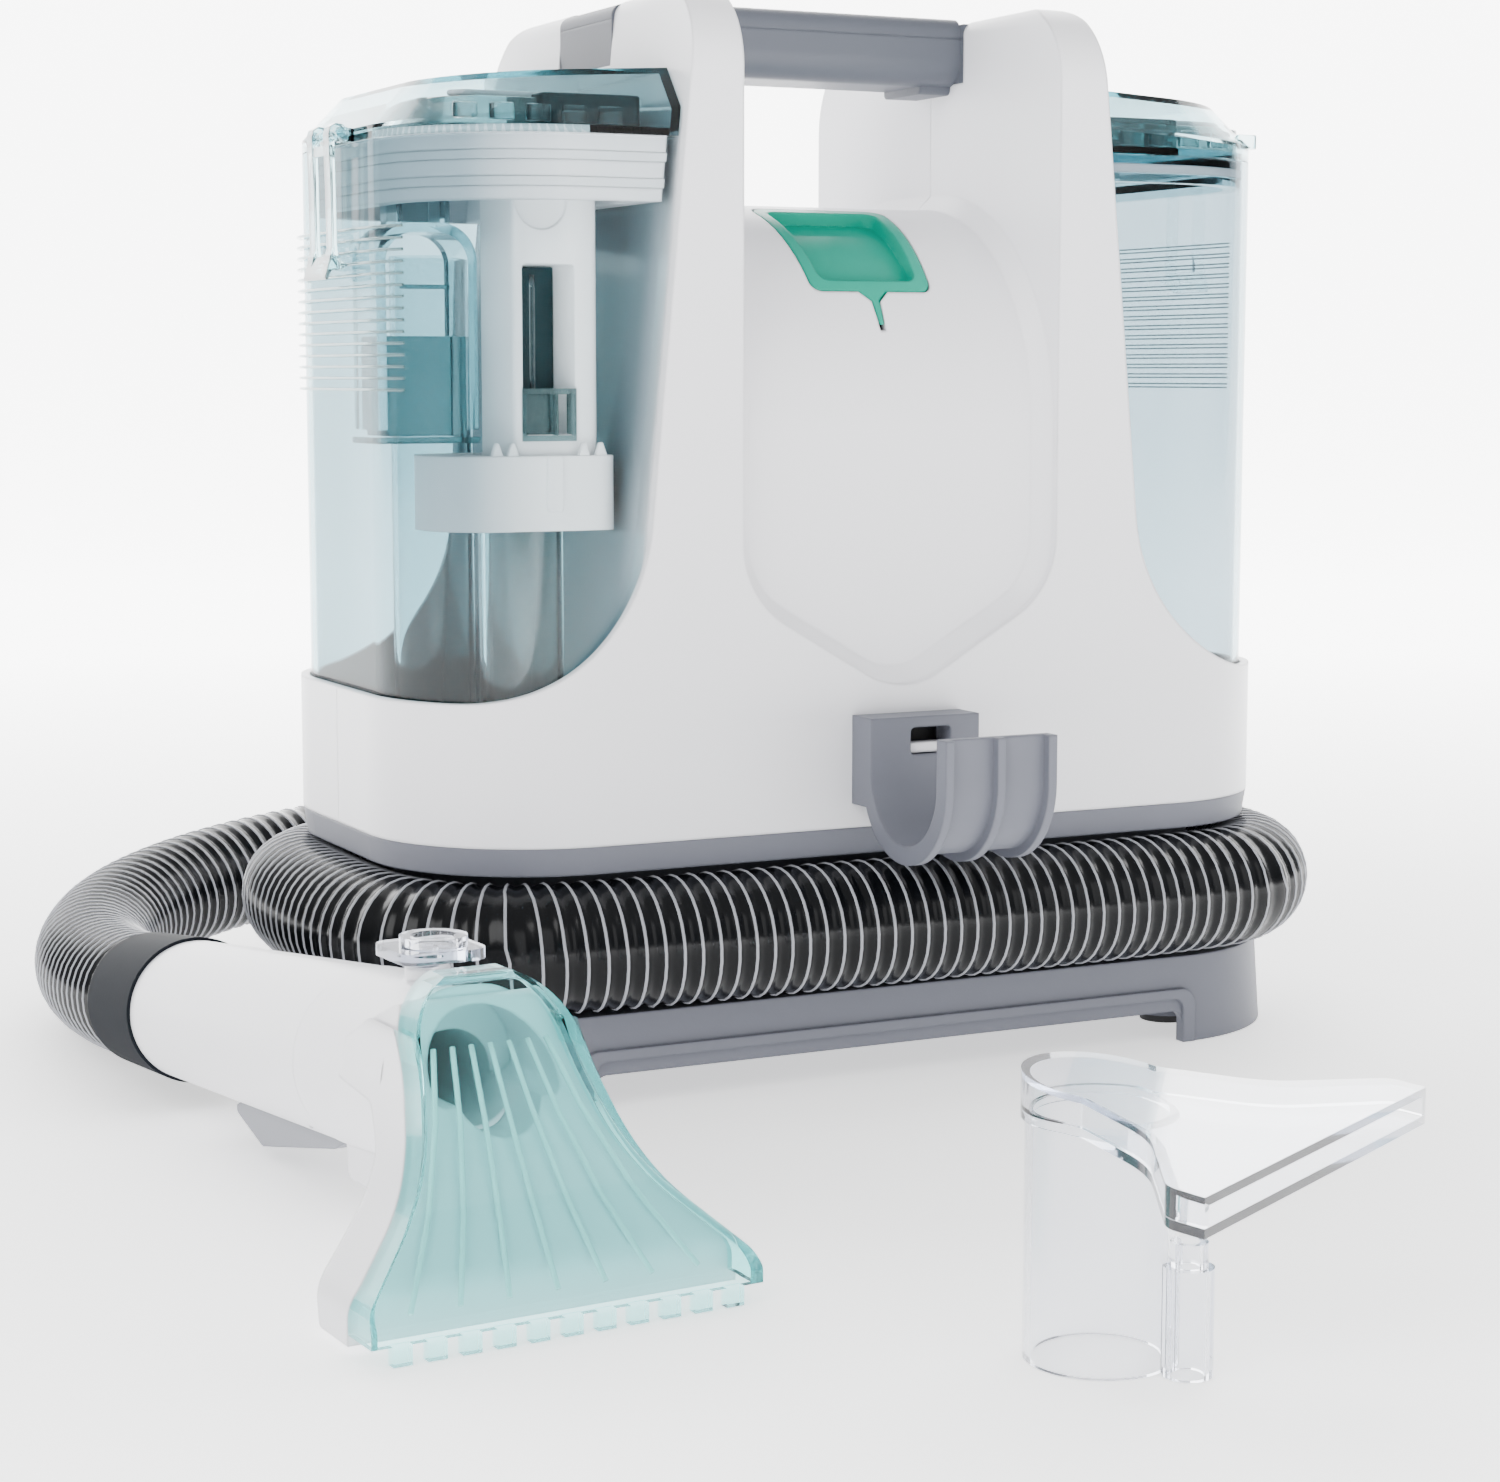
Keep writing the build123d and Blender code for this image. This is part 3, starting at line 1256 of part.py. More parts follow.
cover_solid = spare_wedge(0, [(-57, 52), (-57, 61), (20, 70), (20, 58), (0, 58)])
cover_cavity = spare_wedge(spare_wall, [(-58, 53.9), (-58, 58.8), (19, 67.8), (19, 57), (0, 57)])
with BuildPart() as spare_cover:
    add(cover_solid - cover_cavity)
    with BuildSketch(spare_side):
        closed([(-58, 50), (20, 50), (20, 60.2), (0, 60.2), (-58, 54.2)])
    extrude(amount=70, both=True, mode=Mode.SUBTRACT)
print("spare cover", spare_cover.part.volume, len(spare_cover.solids()))
save(spare_cover, "spare_cover")

base_solid = spare_wedge(0, [(-57, 52), (-57, 54.2), (0, 60.2), (20, 60.2), (20, 58), (0, 58)])
with BuildPart() as spare_body:
    add(base_solid)
    with BuildSketch(spare_frame):
        Circle(spare_tube_r)
    extrude(amount=58.5)
    with BuildSketch(spare_frame):
        Circle(spare_tube_r - spare_wall)
    extrude(amount=62, mode=Mode.SUBTRACT)
    with BuildSketch(spare_frame):
        with Locations((0, -23.4)):
            Circle(6)
        with Locations((0, -18)):
            Rectangle(5, 5)
        with Locations((0, -23.4)):
            Circle(4, mode=Mode.SUBTRACT)
        Circle(spare_tube_r - 1, mode=Mode.SUBTRACT)
    extrude(amount=26)
    with BuildSketch(spare_frame.offset(26)):
        with Locations((0, -23.4)):
            Circle(4.5)
            Circle(2.5, mode=Mode.SUBTRACT)
    extrude(amount=6)
print("spare body", spare_body.part.volume, len(spare_body.solids()))
save(spare_body, "spare_body")
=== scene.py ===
"""Looks of the portable spot cleaner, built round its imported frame."""
import bpy
import bmesh
import math
from math import cos, pi, radians, sin, tau
from mathutils import Matrix, Vector


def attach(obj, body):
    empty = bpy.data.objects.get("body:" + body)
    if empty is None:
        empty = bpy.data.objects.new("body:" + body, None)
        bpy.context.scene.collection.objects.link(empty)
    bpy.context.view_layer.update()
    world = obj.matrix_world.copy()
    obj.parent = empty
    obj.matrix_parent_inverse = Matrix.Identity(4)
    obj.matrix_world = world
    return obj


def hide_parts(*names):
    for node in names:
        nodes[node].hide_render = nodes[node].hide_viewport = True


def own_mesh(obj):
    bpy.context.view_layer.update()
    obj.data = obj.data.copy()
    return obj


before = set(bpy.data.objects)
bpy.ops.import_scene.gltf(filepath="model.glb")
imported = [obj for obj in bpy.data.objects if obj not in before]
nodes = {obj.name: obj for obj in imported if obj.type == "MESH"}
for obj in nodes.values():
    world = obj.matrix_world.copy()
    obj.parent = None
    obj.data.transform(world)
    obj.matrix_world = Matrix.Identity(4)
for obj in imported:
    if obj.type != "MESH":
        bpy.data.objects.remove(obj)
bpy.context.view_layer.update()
MM = 0.001

# ------------------------------------------------------------------ camera
CAMERA_AT = (-0.47477, -0.93285, 0.23119)
CAMERA_DIP = 7.04       # degrees below level
CAMERA_TURN = -26.31    # degrees round from straight ahead
camera_data = bpy.data.cameras.new("camera")
camera_data.lens = 71.5
camera_data.sensor_width = 36
camera = bpy.data.objects.new("camera", camera_data)
camera.location = CAMERA_AT
camera.rotation_euler = (radians(90 - CAMERA_DIP), 0, radians(CAMERA_TURN))
bpy.context.scene.collection.objects.link(camera)
bpy.context.scene.camera = camera


# ------------------------------------------------------------------ materials
COAT_ROUGHNESS = 0.12
CLOUD_SCALE = 14        # of the slow colour variation, per metre
GRAIN_DEPTH = 0.0002    # metres
EDGE_SAMPLES = 4


def shader(name, color, rough, metallic=0.0, clear=0.0, ior=1.46, coat=0.0, grain=0.0, grain_scale=900.0,
           edge=0.0, tint_noise=0.0, absorb=None, shine=0.5):
    """A procedural material: moulded grain, slight colour variation and rounded edges on a principled base.

    clear is its transmission, edge the radius in metres that its sharp edges seem to have, and absorb the
    colour and density that a clear plastic's own thickness gives it."""
    mat = bpy.data.materials.new(name)
    mat.use_nodes = True
    tree = mat.node_tree
    base = tree.nodes["Principled BSDF"]
    base.inputs["Base Color"].default_value = (*color, 1)
    base.inputs["Roughness"].default_value = rough
    base.inputs["Metallic"].default_value = metallic
    base.inputs["IOR"].default_value = ior
    base.inputs["Transmission Weight"].default_value = clear
    base.inputs["Coat Weight"].default_value = coat
    base.inputs["Coat Roughness"].default_value = COAT_ROUGHNESS
    base.inputs["Specular IOR Level"].default_value = shine
    if absorb:
        depth = tree.nodes.new("ShaderNodeVolumeAbsorption")
        depth.inputs["Color"].default_value = (*absorb[0], 1)
        depth.inputs["Density"].default_value = absorb[1]
        tree.links.new(depth.outputs["Volume"], tree.nodes["Material Output"].inputs["Volume"])
    place = tree.nodes.new("ShaderNodeTexCoord")
    if tint_noise:
        cloud = tree.nodes.new("ShaderNodeTexNoise")
        cloud.inputs["Scale"].default_value = CLOUD_SCALE
        cloud.inputs["Detail"].default_value = 3
        ramp = tree.nodes.new("ShaderNodeValToRGB")
        ramp.color_ramp.elements[0].position = 0.3
        ramp.color_ramp.elements[0].color = (*[c * (1 - tint_noise) for c in color], 1)
        ramp.color_ramp.elements[1].position = 0.7
        ramp.color_ramp.elements[1].color = (*color, 1)
        tree.links.new(place.outputs["Object"], cloud.inputs["Vector"])
        tree.links.new(cloud.outputs["Fac"], ramp.inputs["Fac"])
        tree.links.new(ramp.outputs["Color"], base.inputs["Base Color"])
    normal = None
    if edge:
        bevel = tree.nodes.new("ShaderNodeBevel")
        bevel.samples = EDGE_SAMPLES
        bevel.inputs["Radius"].default_value = edge
        normal = bevel.outputs["Normal"]
    if grain:
        speck = tree.nodes.new("ShaderNodeTexNoise")
        speck.inputs["Scale"].default_value = grain_scale
        speck.inputs["Detail"].default_value = 2
        bump = tree.nodes.new("ShaderNodeBump")
        bump.inputs["Strength"].default_value = grain
        bump.inputs["Distance"].default_value = GRAIN_DEPTH
        tree.links.new(place.outputs["Object"], speck.inputs["Vector"])
        tree.links.new(speck.outputs["Fac"], bump.inputs["Height"])
        if normal:
            tree.links.new(normal, bump.inputs["Normal"])
        normal = bump.outputs["Normal"]
    if normal:
        tree.links.new(normal, base.inputs["Normal"])
    return mat


TEAL_DEPTH = ((0.36, 0.66, 0.70), 32)
PALE_DEPTH = ((0.52, 0.60, 0.78), 40)
LATCH_DEPTH = ((0.25, 0.6, 0.65), 110)
NOZZLE_DEPTH = ((0.10, 0.96, 0.97), 62)
white = shader("white", (0.83, 0.83, 0.86), 0.34, grain=0.10, edge=0.0016, tint_noise=0.012)
# a paler copy of the white: painted light that lifts the column and float out of the shade inside the dirty
# tank
lifted_inside_white = shader("lifted_inside_white", (0.95, 0.955, 0.97), 0.4, grain=0.08, edge=0.001, tint_noise=0.012)
seal_pale = shader("seal_pale", (0.78, 0.79, 0.82), 0.5, grain=0.1, edge=0.0008, tint_noise=0.02)
gray = shader("gray", (0.142, 0.149, 0.18), 0.45, grain=0.14, edge=0.0012, tint_noise=0.03, shine=0.35)
handle_gray = shader("handle_gray", (0.09, 0.098, 0.12), 0.45, grain=0.16, edge=0.0014, tint_noise=0.03,
                     shine=0.35)
trigger_gray = shader("trigger_gray", (0.25, 0.26, 0.295), 0.42, grain=0.14, edge=0.001, tint_noise=0.03,
                      shine=0.4)
cuff_gray = shader("cuff_gray", (0.010, 0.012, 0.016), 0.7, grain=0.15, edge=0.001, tint_noise=0.05,
                   shine=0.06)
teal = shader("teal", (0.002, 0.31, 0.215), 0.34, coat=0.05, grain=0.05, edge=0.0012, tint_noise=0.03,
              shine=0.2)
inner = shader("inner", (0.02, 0.02, 0.022), 0.5, grain=0.1, tint_noise=0.1)
rubber = shader("rubber", (0.025, 0.025, 0.026), 0.6, grain=0.2, grain_scale=500, tint_noise=0.1)
steel = shader("steel", (0.5, 0.5, 0.52), 0.3, metallic=1.0, grain=0.1, tint_noise=0.05)
board = shader("board", (0.02, 0.12, 0.05), 0.4, grain=0.1, tint_noise=0.1)
foam = shader("foam", (0.02, 0.02, 0.02), 0.9, grain=0.8, grain_scale=300, tint_noise=0.2)
dirty_clear, clean_clear = [
    shader(name, (0.88, 0.945, 0.955), 0.02, clear=1.0, ior=1.045, coat=0.28, grain=0.02, grain_scale=60,
           absorb=TEAL_DEPTH)
    for name in ("dirty_clear", "clean_clear")]
pipe_clear = shader("pipe_clear", (0.74, 0.85, 0.86), 0.03, clear=1.0, ior=1.16, coat=0.5, grain=0.02,
                    grain_scale=60, absorb=TEAL_DEPTH)
lid_clear = shader("lid_clear", (0.60, 0.73, 0.76), 0.03, clear=1.0, ior=1.10, coat=0.4, grain=0.03,
                   grain_scale=80, absorb=TEAL_DEPTH)
latch_clear = shader("latch_clear", (0.80, 0.89, 0.90), 0.02, clear=1.0, ior=1.42, coat=0.4, grain=0.02,
                     grain_scale=80, absorb=LATCH_DEPTH)
deep_teal = shader("deep_teal", (0.22, 0.37, 0.385), 0.10, clear=0.8, ior=1.2, coat=0.5, grain=0.04,
                   grain_scale=80, tint_noise=0.1)
# painted shade: a dark colour for pieces that stand for the shade inside slots
slot_shade = shader("slot_shade", (0.006, 0.030, 0.036), 0.4, grain=0.05, grain_scale=80, tint_noise=0.2,
                   shine=0.2)
sump_teal = shader("sump_teal", (0.014, 0.045, 0.052), 0.25, coat=0.05, grain=0.03, grain_scale=60,
                   tint_noise=0.2, shine=0.2)
nozzle_clear = shader("nozzle_clear", (0.70, 1.0, 0.99), 0.03, clear=1.0, ior=1.16, coat=0.3, grain=0.03,
                      grain_scale=80, absorb=NOZZLE_DEPTH)
# the nozzle's ribs: partly real channels, their pale colour a painted highlight of the bright streaks down
# the nozzle
flow_sheen = shader("flow_sheen", (0.88, 0.99, 0.98), 0.2, clear=0.15, ior=1.3, coat=0.5, grain=0.03,
                   grain_scale=80)
faint_clear = shader("faint_clear", (0.93, 0.97, 0.975), 0.02, clear=1.0, ior=1.03, coat=0.12, grain=0.02,
                     grain_scale=80)
spare_clear = shader("spare_clear", (0.975, 0.98, 0.995), 0.03, clear=0.985, ior=1.28, coat=0.5, grain=0.03,
                     grain_scale=80, absorb=PALE_DEPTH)
smoke = shader("smoke", (0.003, 0.0035, 0.0045), 0.2, ior=1.26, coat=0.04, grain=0.04, grain_scale=200,
               tint_noise=0.3)
wire = shader("wire", (0.31, 0.32, 0.35), 0.25, coat=0.3, grain=0.05, tint_noise=0.1)

# the tank plastic is palest in front and darker towards the machine's back; the pale front is painted light
# that lifts what is seen through it out of the shade inside the tank
TINT_FRONT, TINT_BACK = -0.087, 0.013
TINT_STOPS = (0.05, 0.2, 0.9)
for look, tints in ((dirty_clear, ((0.97, 0.985, 0.99), (0.52, 0.60, 0.635), (0.33, 0.44, 0.475))),
                    (clean_clear, ((0.60, 0.645, 0.68), (0.41, 0.465, 0.50), (0.30, 0.365, 0.395)))):
    tree = look.node_tree
    depth_place = tree.nodes.new("ShaderNodeTexCoord")
    depth_split = tree.nodes.new("ShaderNodeSeparateXYZ")
    depth_range = tree.nodes.new("ShaderNodeMapRange")
    depth_range.inputs["From Min"].default_value = TINT_FRONT
    depth_range.inputs["From Max"].default_value = TINT_BACK
    front_lift_tint = tree.nodes.new("ShaderNodeValToRGB")
    front_lift_tint.color_ramp.elements.new(0.5)
    for stop, position, tint in zip(front_lift_tint.color_ramp.elements, TINT_STOPS, tints):
        stop.position = position
        stop.color = (*tint, 1)
    tree.links.new(depth_place.outputs["Object"], depth_split.inputs["Vector"])
    tree.links.new(depth_split.outputs["Y"], depth_range.inputs["Value"])
    tree.links.new(depth_range.outputs["Result"], front_lift_tint.inputs["Fac"])
    tree.links.new(front_lift_tint.outputs["Color"], tree.nodes["Principled BSDF"].inputs["Base Color"])

FINISH = {
    white: ("front_shell", "rear_shell", "barrel_left", "barrel_right", "tool_head", "dirty_lid_frame"),
    # the pieces inside the dirty tank take the paler white, painted light
    lifted_inside_white: ("separator_column", "float_ring"),
    seal_pale: ("dirty_lid_seal", "clean_lid_seal"),
    gray: ("base_tray", "waist_core", "skirt_band", "tool_holder", "exhaust_grille"),
    handle_gray: ("handle_base", "handle_cap"),
    trigger_gray: ("trigger",),
    cuff_gray: ("elbow_socket", "machine_cuff", "tool_cuff"),
    teal: ("power_button",),
    inner: ("button_bracket", "power_switch", "inlet_duct", "air_duct", "motor_bracket", "fan_housing",
            "impeller", "valve_housing", "valve_poppet"),
    rubber: ("rubber_feet", "port_seals", "rubber_mounts", "cord_gland"),
    steel: ("vacuum_motor", "water_pump", "screws", "return_springs", "valve_spring", "trigger_pin"),
    board: ("control_board",),
    foam: ("exhaust_filter",),
    dirty_clear: ("dirty_tank_shell",),
    clean_clear: ("clean_tank_shell",),
    pipe_clear: ("tank_pipes", "baffle_box", "water_tubes", "spray_line", "suction_tube"),
    lid_clear: ("dirty_lid_cover", "clean_lid_cover", "clean_lid_frame"),
    latch_clear: ("dirty_latch", "clean_latch"),
    nozzle_clear: ("nozzle_cover",),
    spare_clear: ("spare_cover", "spare_body", "nozzle_latch"),
}
for finish, names in FINISH.items():
    for name in names:
        for slot in nodes[name].material_slots:
            slot.material = finish


# ------------------------------------------------------------------ mesh helpers
def add_mesh(name, verts, faces, mat, smooth=True):
    mesh = bpy.data.meshes.new(name)
    mesh.from_pydata([tuple(v) for v in verts], [], faces)
    mesh.materials.append(mat)
    for poly in mesh.polygons:
        poly.use_smooth = smooth
    mesh.update()
    obj = bpy.data.objects.new(name, mesh)
    bpy.context.scene.collection.objects.link(obj)
    return obj


def sampled(points, step):
    """Points along a polyline, evenly spaced, with a turning-free frame at each: (point, side, up)."""
    lengths = [0.0]
    for a, b in zip(points, points[1:]):
        lengths.append(lengths[-1] + (b - a).length)
    count = max(2, round(lengths[-1] / step))
    spots = []
    k = 0
    for i in range(count + 1):
        target = lengths[-1] * i / count
        while k < len(points) - 2 and lengths[k + 1] < target:
            k += 1
        share = (target - lengths[k]) / (lengths[k + 1] - lengths[k])
        spots.append(points[k].lerp(points[k + 1], share))
    frames = []
    side = None
    for i, spot in enumerate(spots):
        along = (spots[min(i + 1, count)] - spots[max(i - 1, 0)]).normalized()
        if side is None:
            side = along.cross(Vector((0, 0, 1))).normalized()
        side = (side - along * side.dot(along)).normalized()
        frames.append((spot, side, along.cross(side)))
    return frames, lengths[-1]


def tube_mesh(name, frames, radius_at, around, mat):
    """A tube round sampled frames; radius_at(i, j) gives its radius at ring i and spoke j."""
    verts = []
    for i, (spot, side, up) in enumerate(frames):
        for j in range(around):
            angle = tau * j / around
            verts.append(spot + radius_at(i, j) * (cos(angle) * side + sin(angle) * up))
    faces = []
    for i in range(len(frames) - 1):
        for j in range(around):
            a, b = i * around + j, i * around + (j + 1) % around
            faces.append((a, b, b + around, a + around))
    return add_mesh(name, verts, faces, mat)


def rounded(points, radius, steps=4):
    """An outline with its corners rounded: points are (a, b), radius one number or one per corner."""
    outline = []
    count = len(points)
    for i, corner in enumerate(points):
        r = radius[i] if isinstance(radius, (list, tuple)) else radius
        corner = Vector(corner)
        before = (Vector(points[i - 1]) - corner).normalized()
        after = (Vector(points[(i + 1) % count]) - corner).normalized()
        if r == 0:
            outline.append(corner)
            continue
        half = before.angle(after) / 2
        centre = corner + (before + after).normalized() * (r / sin(half))
        first = corner + before * (r / math.tan(half)) - centre
        last = corner + after * (r / math.tan(half)) - centre
        turn = first.angle_signed(last)
        for k in range(steps + 1):
            outline.append(centre + Matrix.Rotation(-turn * k / steps, 2) @ first)
    return [tuple(p) for p in outline]


def oval(centre, radius, count=28):
    return [(centre[0] + radius * cos(tau * k / count), centre[1] + radius * sin(tau * k / count))
            for k in range(count)]


def face_outwards(obj, close_ends=False):
    """Turn a mesh's faces outwards, after closing its open ends if it has them."""
    shape = bmesh.new()
    shape.from_mesh(obj.data)
    if close_ends:
        bmesh.ops.holes_fill(shape, edges=[e for e in shape.edges if e.is_boundary])
    bmesh.ops.recalc_face_normals(shape, faces=shape.faces)
    shape.to_mesh(obj.data)
    shape.free()


SHARP_ANGLE = radians(40)


def soften_edges(obj, width):
    """Round a piece's sharp edges to a width in metres."""
    round_off = obj.modifiers.new("soft_edges", "BEVEL")
    round_off.width = width
    round_off.segments = 2
    round_off.limit_method = "ANGLE"
    round_off.angle_limit = SHARP_ANGLE
    return round_off


def evaluated_mesh(obj):
    """The mesh that an object's modifiers or curve settings give it."""
    bpy.context.view_layer.update()
    return bpy.data.meshes.new_from_object(obj.evaluated_get(bpy.context.evaluated_depsgraph_get()))


AXES = {"x": lambda a, b, h: (h, a, b), "y": lambda a, b, h: (a, h, b), "z": lambda a, b, h: (a, b, h)}


def solid(name, shapes, mat, body=None, soften=0.6):
    """One piece of extruded outlines: shapes are (outline, axis, low, high), all in millimetres."""
    verts = []
    faces = []
    for outline, axis, low, high in shapes:
        start = len(verts)
        count = len(outline)
        for height in (low, high):
            verts += [Vector(AXES[axis](a, b, height)) * MM for a, b in outline]
        faces.append(tuple(start + k for k in range(count)))
        faces.append(tuple(start + count + k for k in reversed(range(count))))
        for k in range(count):
            k2 = (k + 1) % count
            faces.append((start + k, start + count + k, start + count + k2, start + k2))
    obj = add_mesh(name, verts, faces, mat)
    face_outwards(obj)
    if soften:
        soften_edges(obj, soften * MM).harden_normals = True
    if body:
        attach(obj, body)
    return obj


def cut(obj, *cutters):
    """Take the cutters' shapes out of a piece, and remove them."""
    width = obj.modifiers["soft_edges"].width
    obj.modifiers.clear()
    for cutter in cutters:
        boolean = obj.modifiers.new("cut", "BOOLEAN")
        boolean.object = cutter
        boolean.operation = "DIFFERENCE"
        boolean.solver = "EXACT"
    mesh = evaluated_mesh(obj)
    obj.modifiers.clear()
    obj.data = mesh
    for cutter in cutters:
        bpy.data.objects.remove(cutter)
    soften_edges(obj, width)
    return obj


ROD_STEP = 0.004


def rod(name, spots, radius, mat, body, sides=14):
    """A round bar along points in millimetres, its ends closed."""
    points = [Vector(p) * MM for p in spots]
    frames, _ = sampled(points, ROD_STEP)
    obj = tube_mesh(name, frames, lambda i, j: radius * MM, sides, mat)
    face_outwards(obj, close_ends=True)
    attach(obj, body)
    return obj


def box(x0, x1, y0, y1, z0, z1, r=1.0):
    """A shape for solid(): an upright block with rounded upright edges."""
    return rounded([(x0, y0), (x1, y0), (x1, y1), (x0, y1)], r), "z", z0, z1


# ------------------------------------------------------------------ inside the dirty tank
# the column in the paler white: painted light against the shade in the tank
column = solid("column", [box(-126.5, -98, -63, -33, 182, 301, 2.5)], lifted_inside_white, soften=0.7)
slot_outline = rounded([(-123.6, 212), (-106, 212), (-106, 265), (-123.6, 265)], 1.5)
cut(column,
    solid("column_slot", [(slot_outline, "y", -70, -44)], white, soften=0),
    solid("column_notch", [(oval((-117, 284), 8.5), "y", -66, -62)], white, soften=0))
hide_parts("separator_column")
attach(column, "dirty_lid")
# a dark plate at the back of the column's slot, painted shade in the slot
slot_back = solid("column_slot_shade", [box(-123.4, -106.2, -46.5, -44.2, 212.5, 264.5)], slot_shade, "dirty_lid",
                  0.3)
REED_TOP = 262
for k, (x, low) in enumerate(((-120.5, 214), (-115.5, 226), (-110.0, 214))):
    y = -50 - k
    rod("column_reed_" + str(k), [(x, y, low), (x, y, (low + REED_TOP) / 2), (x, y, REED_TOP)], 0.9,
        latch_clear, "dirty_lid", 10)

# a small frame of five bars in front of the column's slot, with a pane in its left half
FRAME_LOW, FRAME_HIGH = 211.8, 224.6
frame_bars = [box(-124, -105.6, -64, -58.5, FRAME_HIGH, 226.4), box(-124, -105.6, -64, -58.5, 210, FRAME_LOW)]
for left, right in ((-124, -122.2), (-113.4, -111.8), (-107.4, -105.6)):
    frame_bars.append(box(left, right, -64, -58.5, FRAME_LOW, FRAME_HIGH))
pane = box(-122, -113.6, -61, -59.5, 212, 224.4)
solid("valve_box", [*frame_bars, pane], deep_teal, "dirty_lid", 0.3)

LEVEL_X, LEVEL_Y = -106.5, -72.5
rod("level_rod", [(LEVEL_X, LEVEL_Y, z) for z in (97.5, 190, 301)], 1.9, latch_clear, "dirty_lid")
rod("vent_tube", [(-114.2, 6, z) for z in (210, 240, 271)], 5.2, pipe_clear, "dirty_lid", 24)
solid("baffle_fill", [box(-152.6, -125.4, -18.8, 0.6, 211, 243), box(-157, -121.4, -21, 2.6, 208.6, 210.6),
                      box(-148, -131, -19.4, -18.6, 258, 259.4, 0.3)], deep_teal, "dirty_lid", 0.4)
sump = solid("tank_sump", [box(-158.5, -103.5, -79, 79, 95.2, 96.4, [46, 6, 6, 46])], sump_teal, "dirty_tank",
             0.3)
cut(sump, *[solid("pipe_hole", [(oval(centre, radius), "z", 90, 100)], deep_teal, soften=0)
            for centre, radius in (((-118, -46), 14), ((-122, 24), 13))])
trim = []
for x in (-134, -128.7, -104.8, -99):
    trim.append(([(x - 2, 205.3), (x + 2, 205.3), (x + 0.5, 209.6), (x - 0.5, 209.6)], "y", -67.6, -65.3))
trim.append((rounded([(-118, 188), (-112.6, 188), (-112.6, 205.6), (-118, 205.6)], 1.2), "y", -69.3, -67.5))
# the float's trim also in the paler white, painted light
float_trim = solid("float_trim", trim, lifted_inside_white, "float_ring", 0.4)

# ------------------------------------------------------------------ clean tank: its valve's spring
valve_coil = bpy.data.objects.new("valve_coil", nodes["valve_spring"].data.copy())
bpy.context.scene.collection.objects.link(valve_coil)
valve_coil.matrix_world = nodes["valve_spring"].matrix_world.copy()
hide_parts("valve_spring")
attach(valve_coil, "clean_tank")
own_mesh(valve_coil)

# ------------------------------------------------------------------ tanks: grip ribs round their outer ends
TANK_CORNER = 55.4
CORNER_AT = (108, 29)
RIB_COUNT = 15
RIB_LOW = 226
RIB_PITCH = 3.6
RIB_PAIR = 1.3
RIB_STEP = 6            # degrees between a rib's points
RIB_BACK = 30           # degrees round the back corner where a rib ends


def end_wall(turn, towards):
    """A point on a tank's rounded end, turn degrees round its front (-1) or back (1) corner."""
    return (CORNER_AT[0] + TANK_CORNER * cos(radians(turn)),
            towards * (CORNER_AT[1] + TANK_CORNER * sin(radians(turn))))


# side, body, degrees round the front corner, heights of a rib's lines, a line's radius
for side, body, front_turn, lines, rib_radius in ((-1, "dirty_tank", 24, (0,), 0.5),
                                                  (1, "clean_tank", 6, (0, RIB_PAIR), 0.3)):
    rib_curve = bpy.data.curves.new("rib_line", "CURVE")
    rib_curve.dimensions = "3D"
    rib_curve.bevel_depth = rib_radius * MM
    rib_curve.bevel_resolution = 2
    rib_curve.use_fill_caps = True
    path = [end_wall(turn, -1) for turn in range(front_turn, -1, -RIB_STEP)]
    path += [end_wall(turn, 1) for turn in range(0, RIB_BACK + 1, RIB_STEP)]
    for level in range(RIB_COUNT):
        for raised in lines:
            rib = rib_curve.splines.new("POLY")
            rib.points.add(len(path) - 1)
            for point, (x, y) in zip(rib.points, path):
                point.co = (side * x * MM, y * MM, (RIB_LOW + RIB_PITCH * level + raised) * MM, 1)
    rib_object = bpy.data.objects.new("rib_line", rib_curve)
    bpy.context.scene.collection.objects.link(rib_object)
    rib_mesh = evaluated_mesh(rib_object)
    bpy.data.objects.remove(rib_object)
    rib_mesh.materials.clear()
    rib_mesh.materials.append(deep_teal)
    ribs = bpy.data.objects.new(body + "_ribs", rib_mesh)
    bpy.context.scene.collection.objects.link(ribs)
    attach(ribs, body)

# ------------------------------------------------------------------ latches: two clear hooks on a cross bar
PIVOT_X = 164.8
HOOK = [(-3.0, 305), (-3.0, 308), (-1.4, 309.8), (1.0, 310.2), (3.0, 309), (3.6, 306.5), (3.2, 290),
        (3.0, 271), (4.6, 265), (5.4, 261.6), (4.4, 261), (3.2, 264), (-1.2, 264.2), (-1.2, 266.2),
        (0.8, 267.6), (1.3, 272), (1.4, 290), (1.5, 304), (0.2, 305.6), (-1.4, 304)]
CROSS = [(1.2, 268.5), (3.0, 268.5), (4.6, 265), (5.6, 261.2), (4.6, 260.6), (3.0, 263.8), (0.8, 264)]
BAR = [(1.2, 300), (3.2, 300), (3.2, 303.5), (1.2, 303.5)]
for side, body, look in ((-1, "dirty_latch", latch_clear), (1, "clean_latch", faint_clear)):
    hook, cross, bar = [[(side * (PIVOT_X + x), z) for x, z in outline] for outline in (HOOK, CROSS, BAR)]
    latch = solid(body + "_hooks", [(hook, "y", -11.6, -5.4), (hook, "y", 5.4, 11.6),
                                    (cross, "y", -11.2, 11.2), (bar, "y", -6, 6)], look, body, 0.45)
    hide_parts(body)

# ------------------------------------------------------------------ lids: inserts seen through the covers
BAR_COUNT = 5
BAR_PITCH = 12
BAR_WIDTH = 8


def lid_box(side, near, far, *sizes):
    """A box() between two distances from the machine's middle, on the left (-1) or the right (1)."""
    low, high = sorted((side * near, side * far))
    return box(low, high, *sizes)


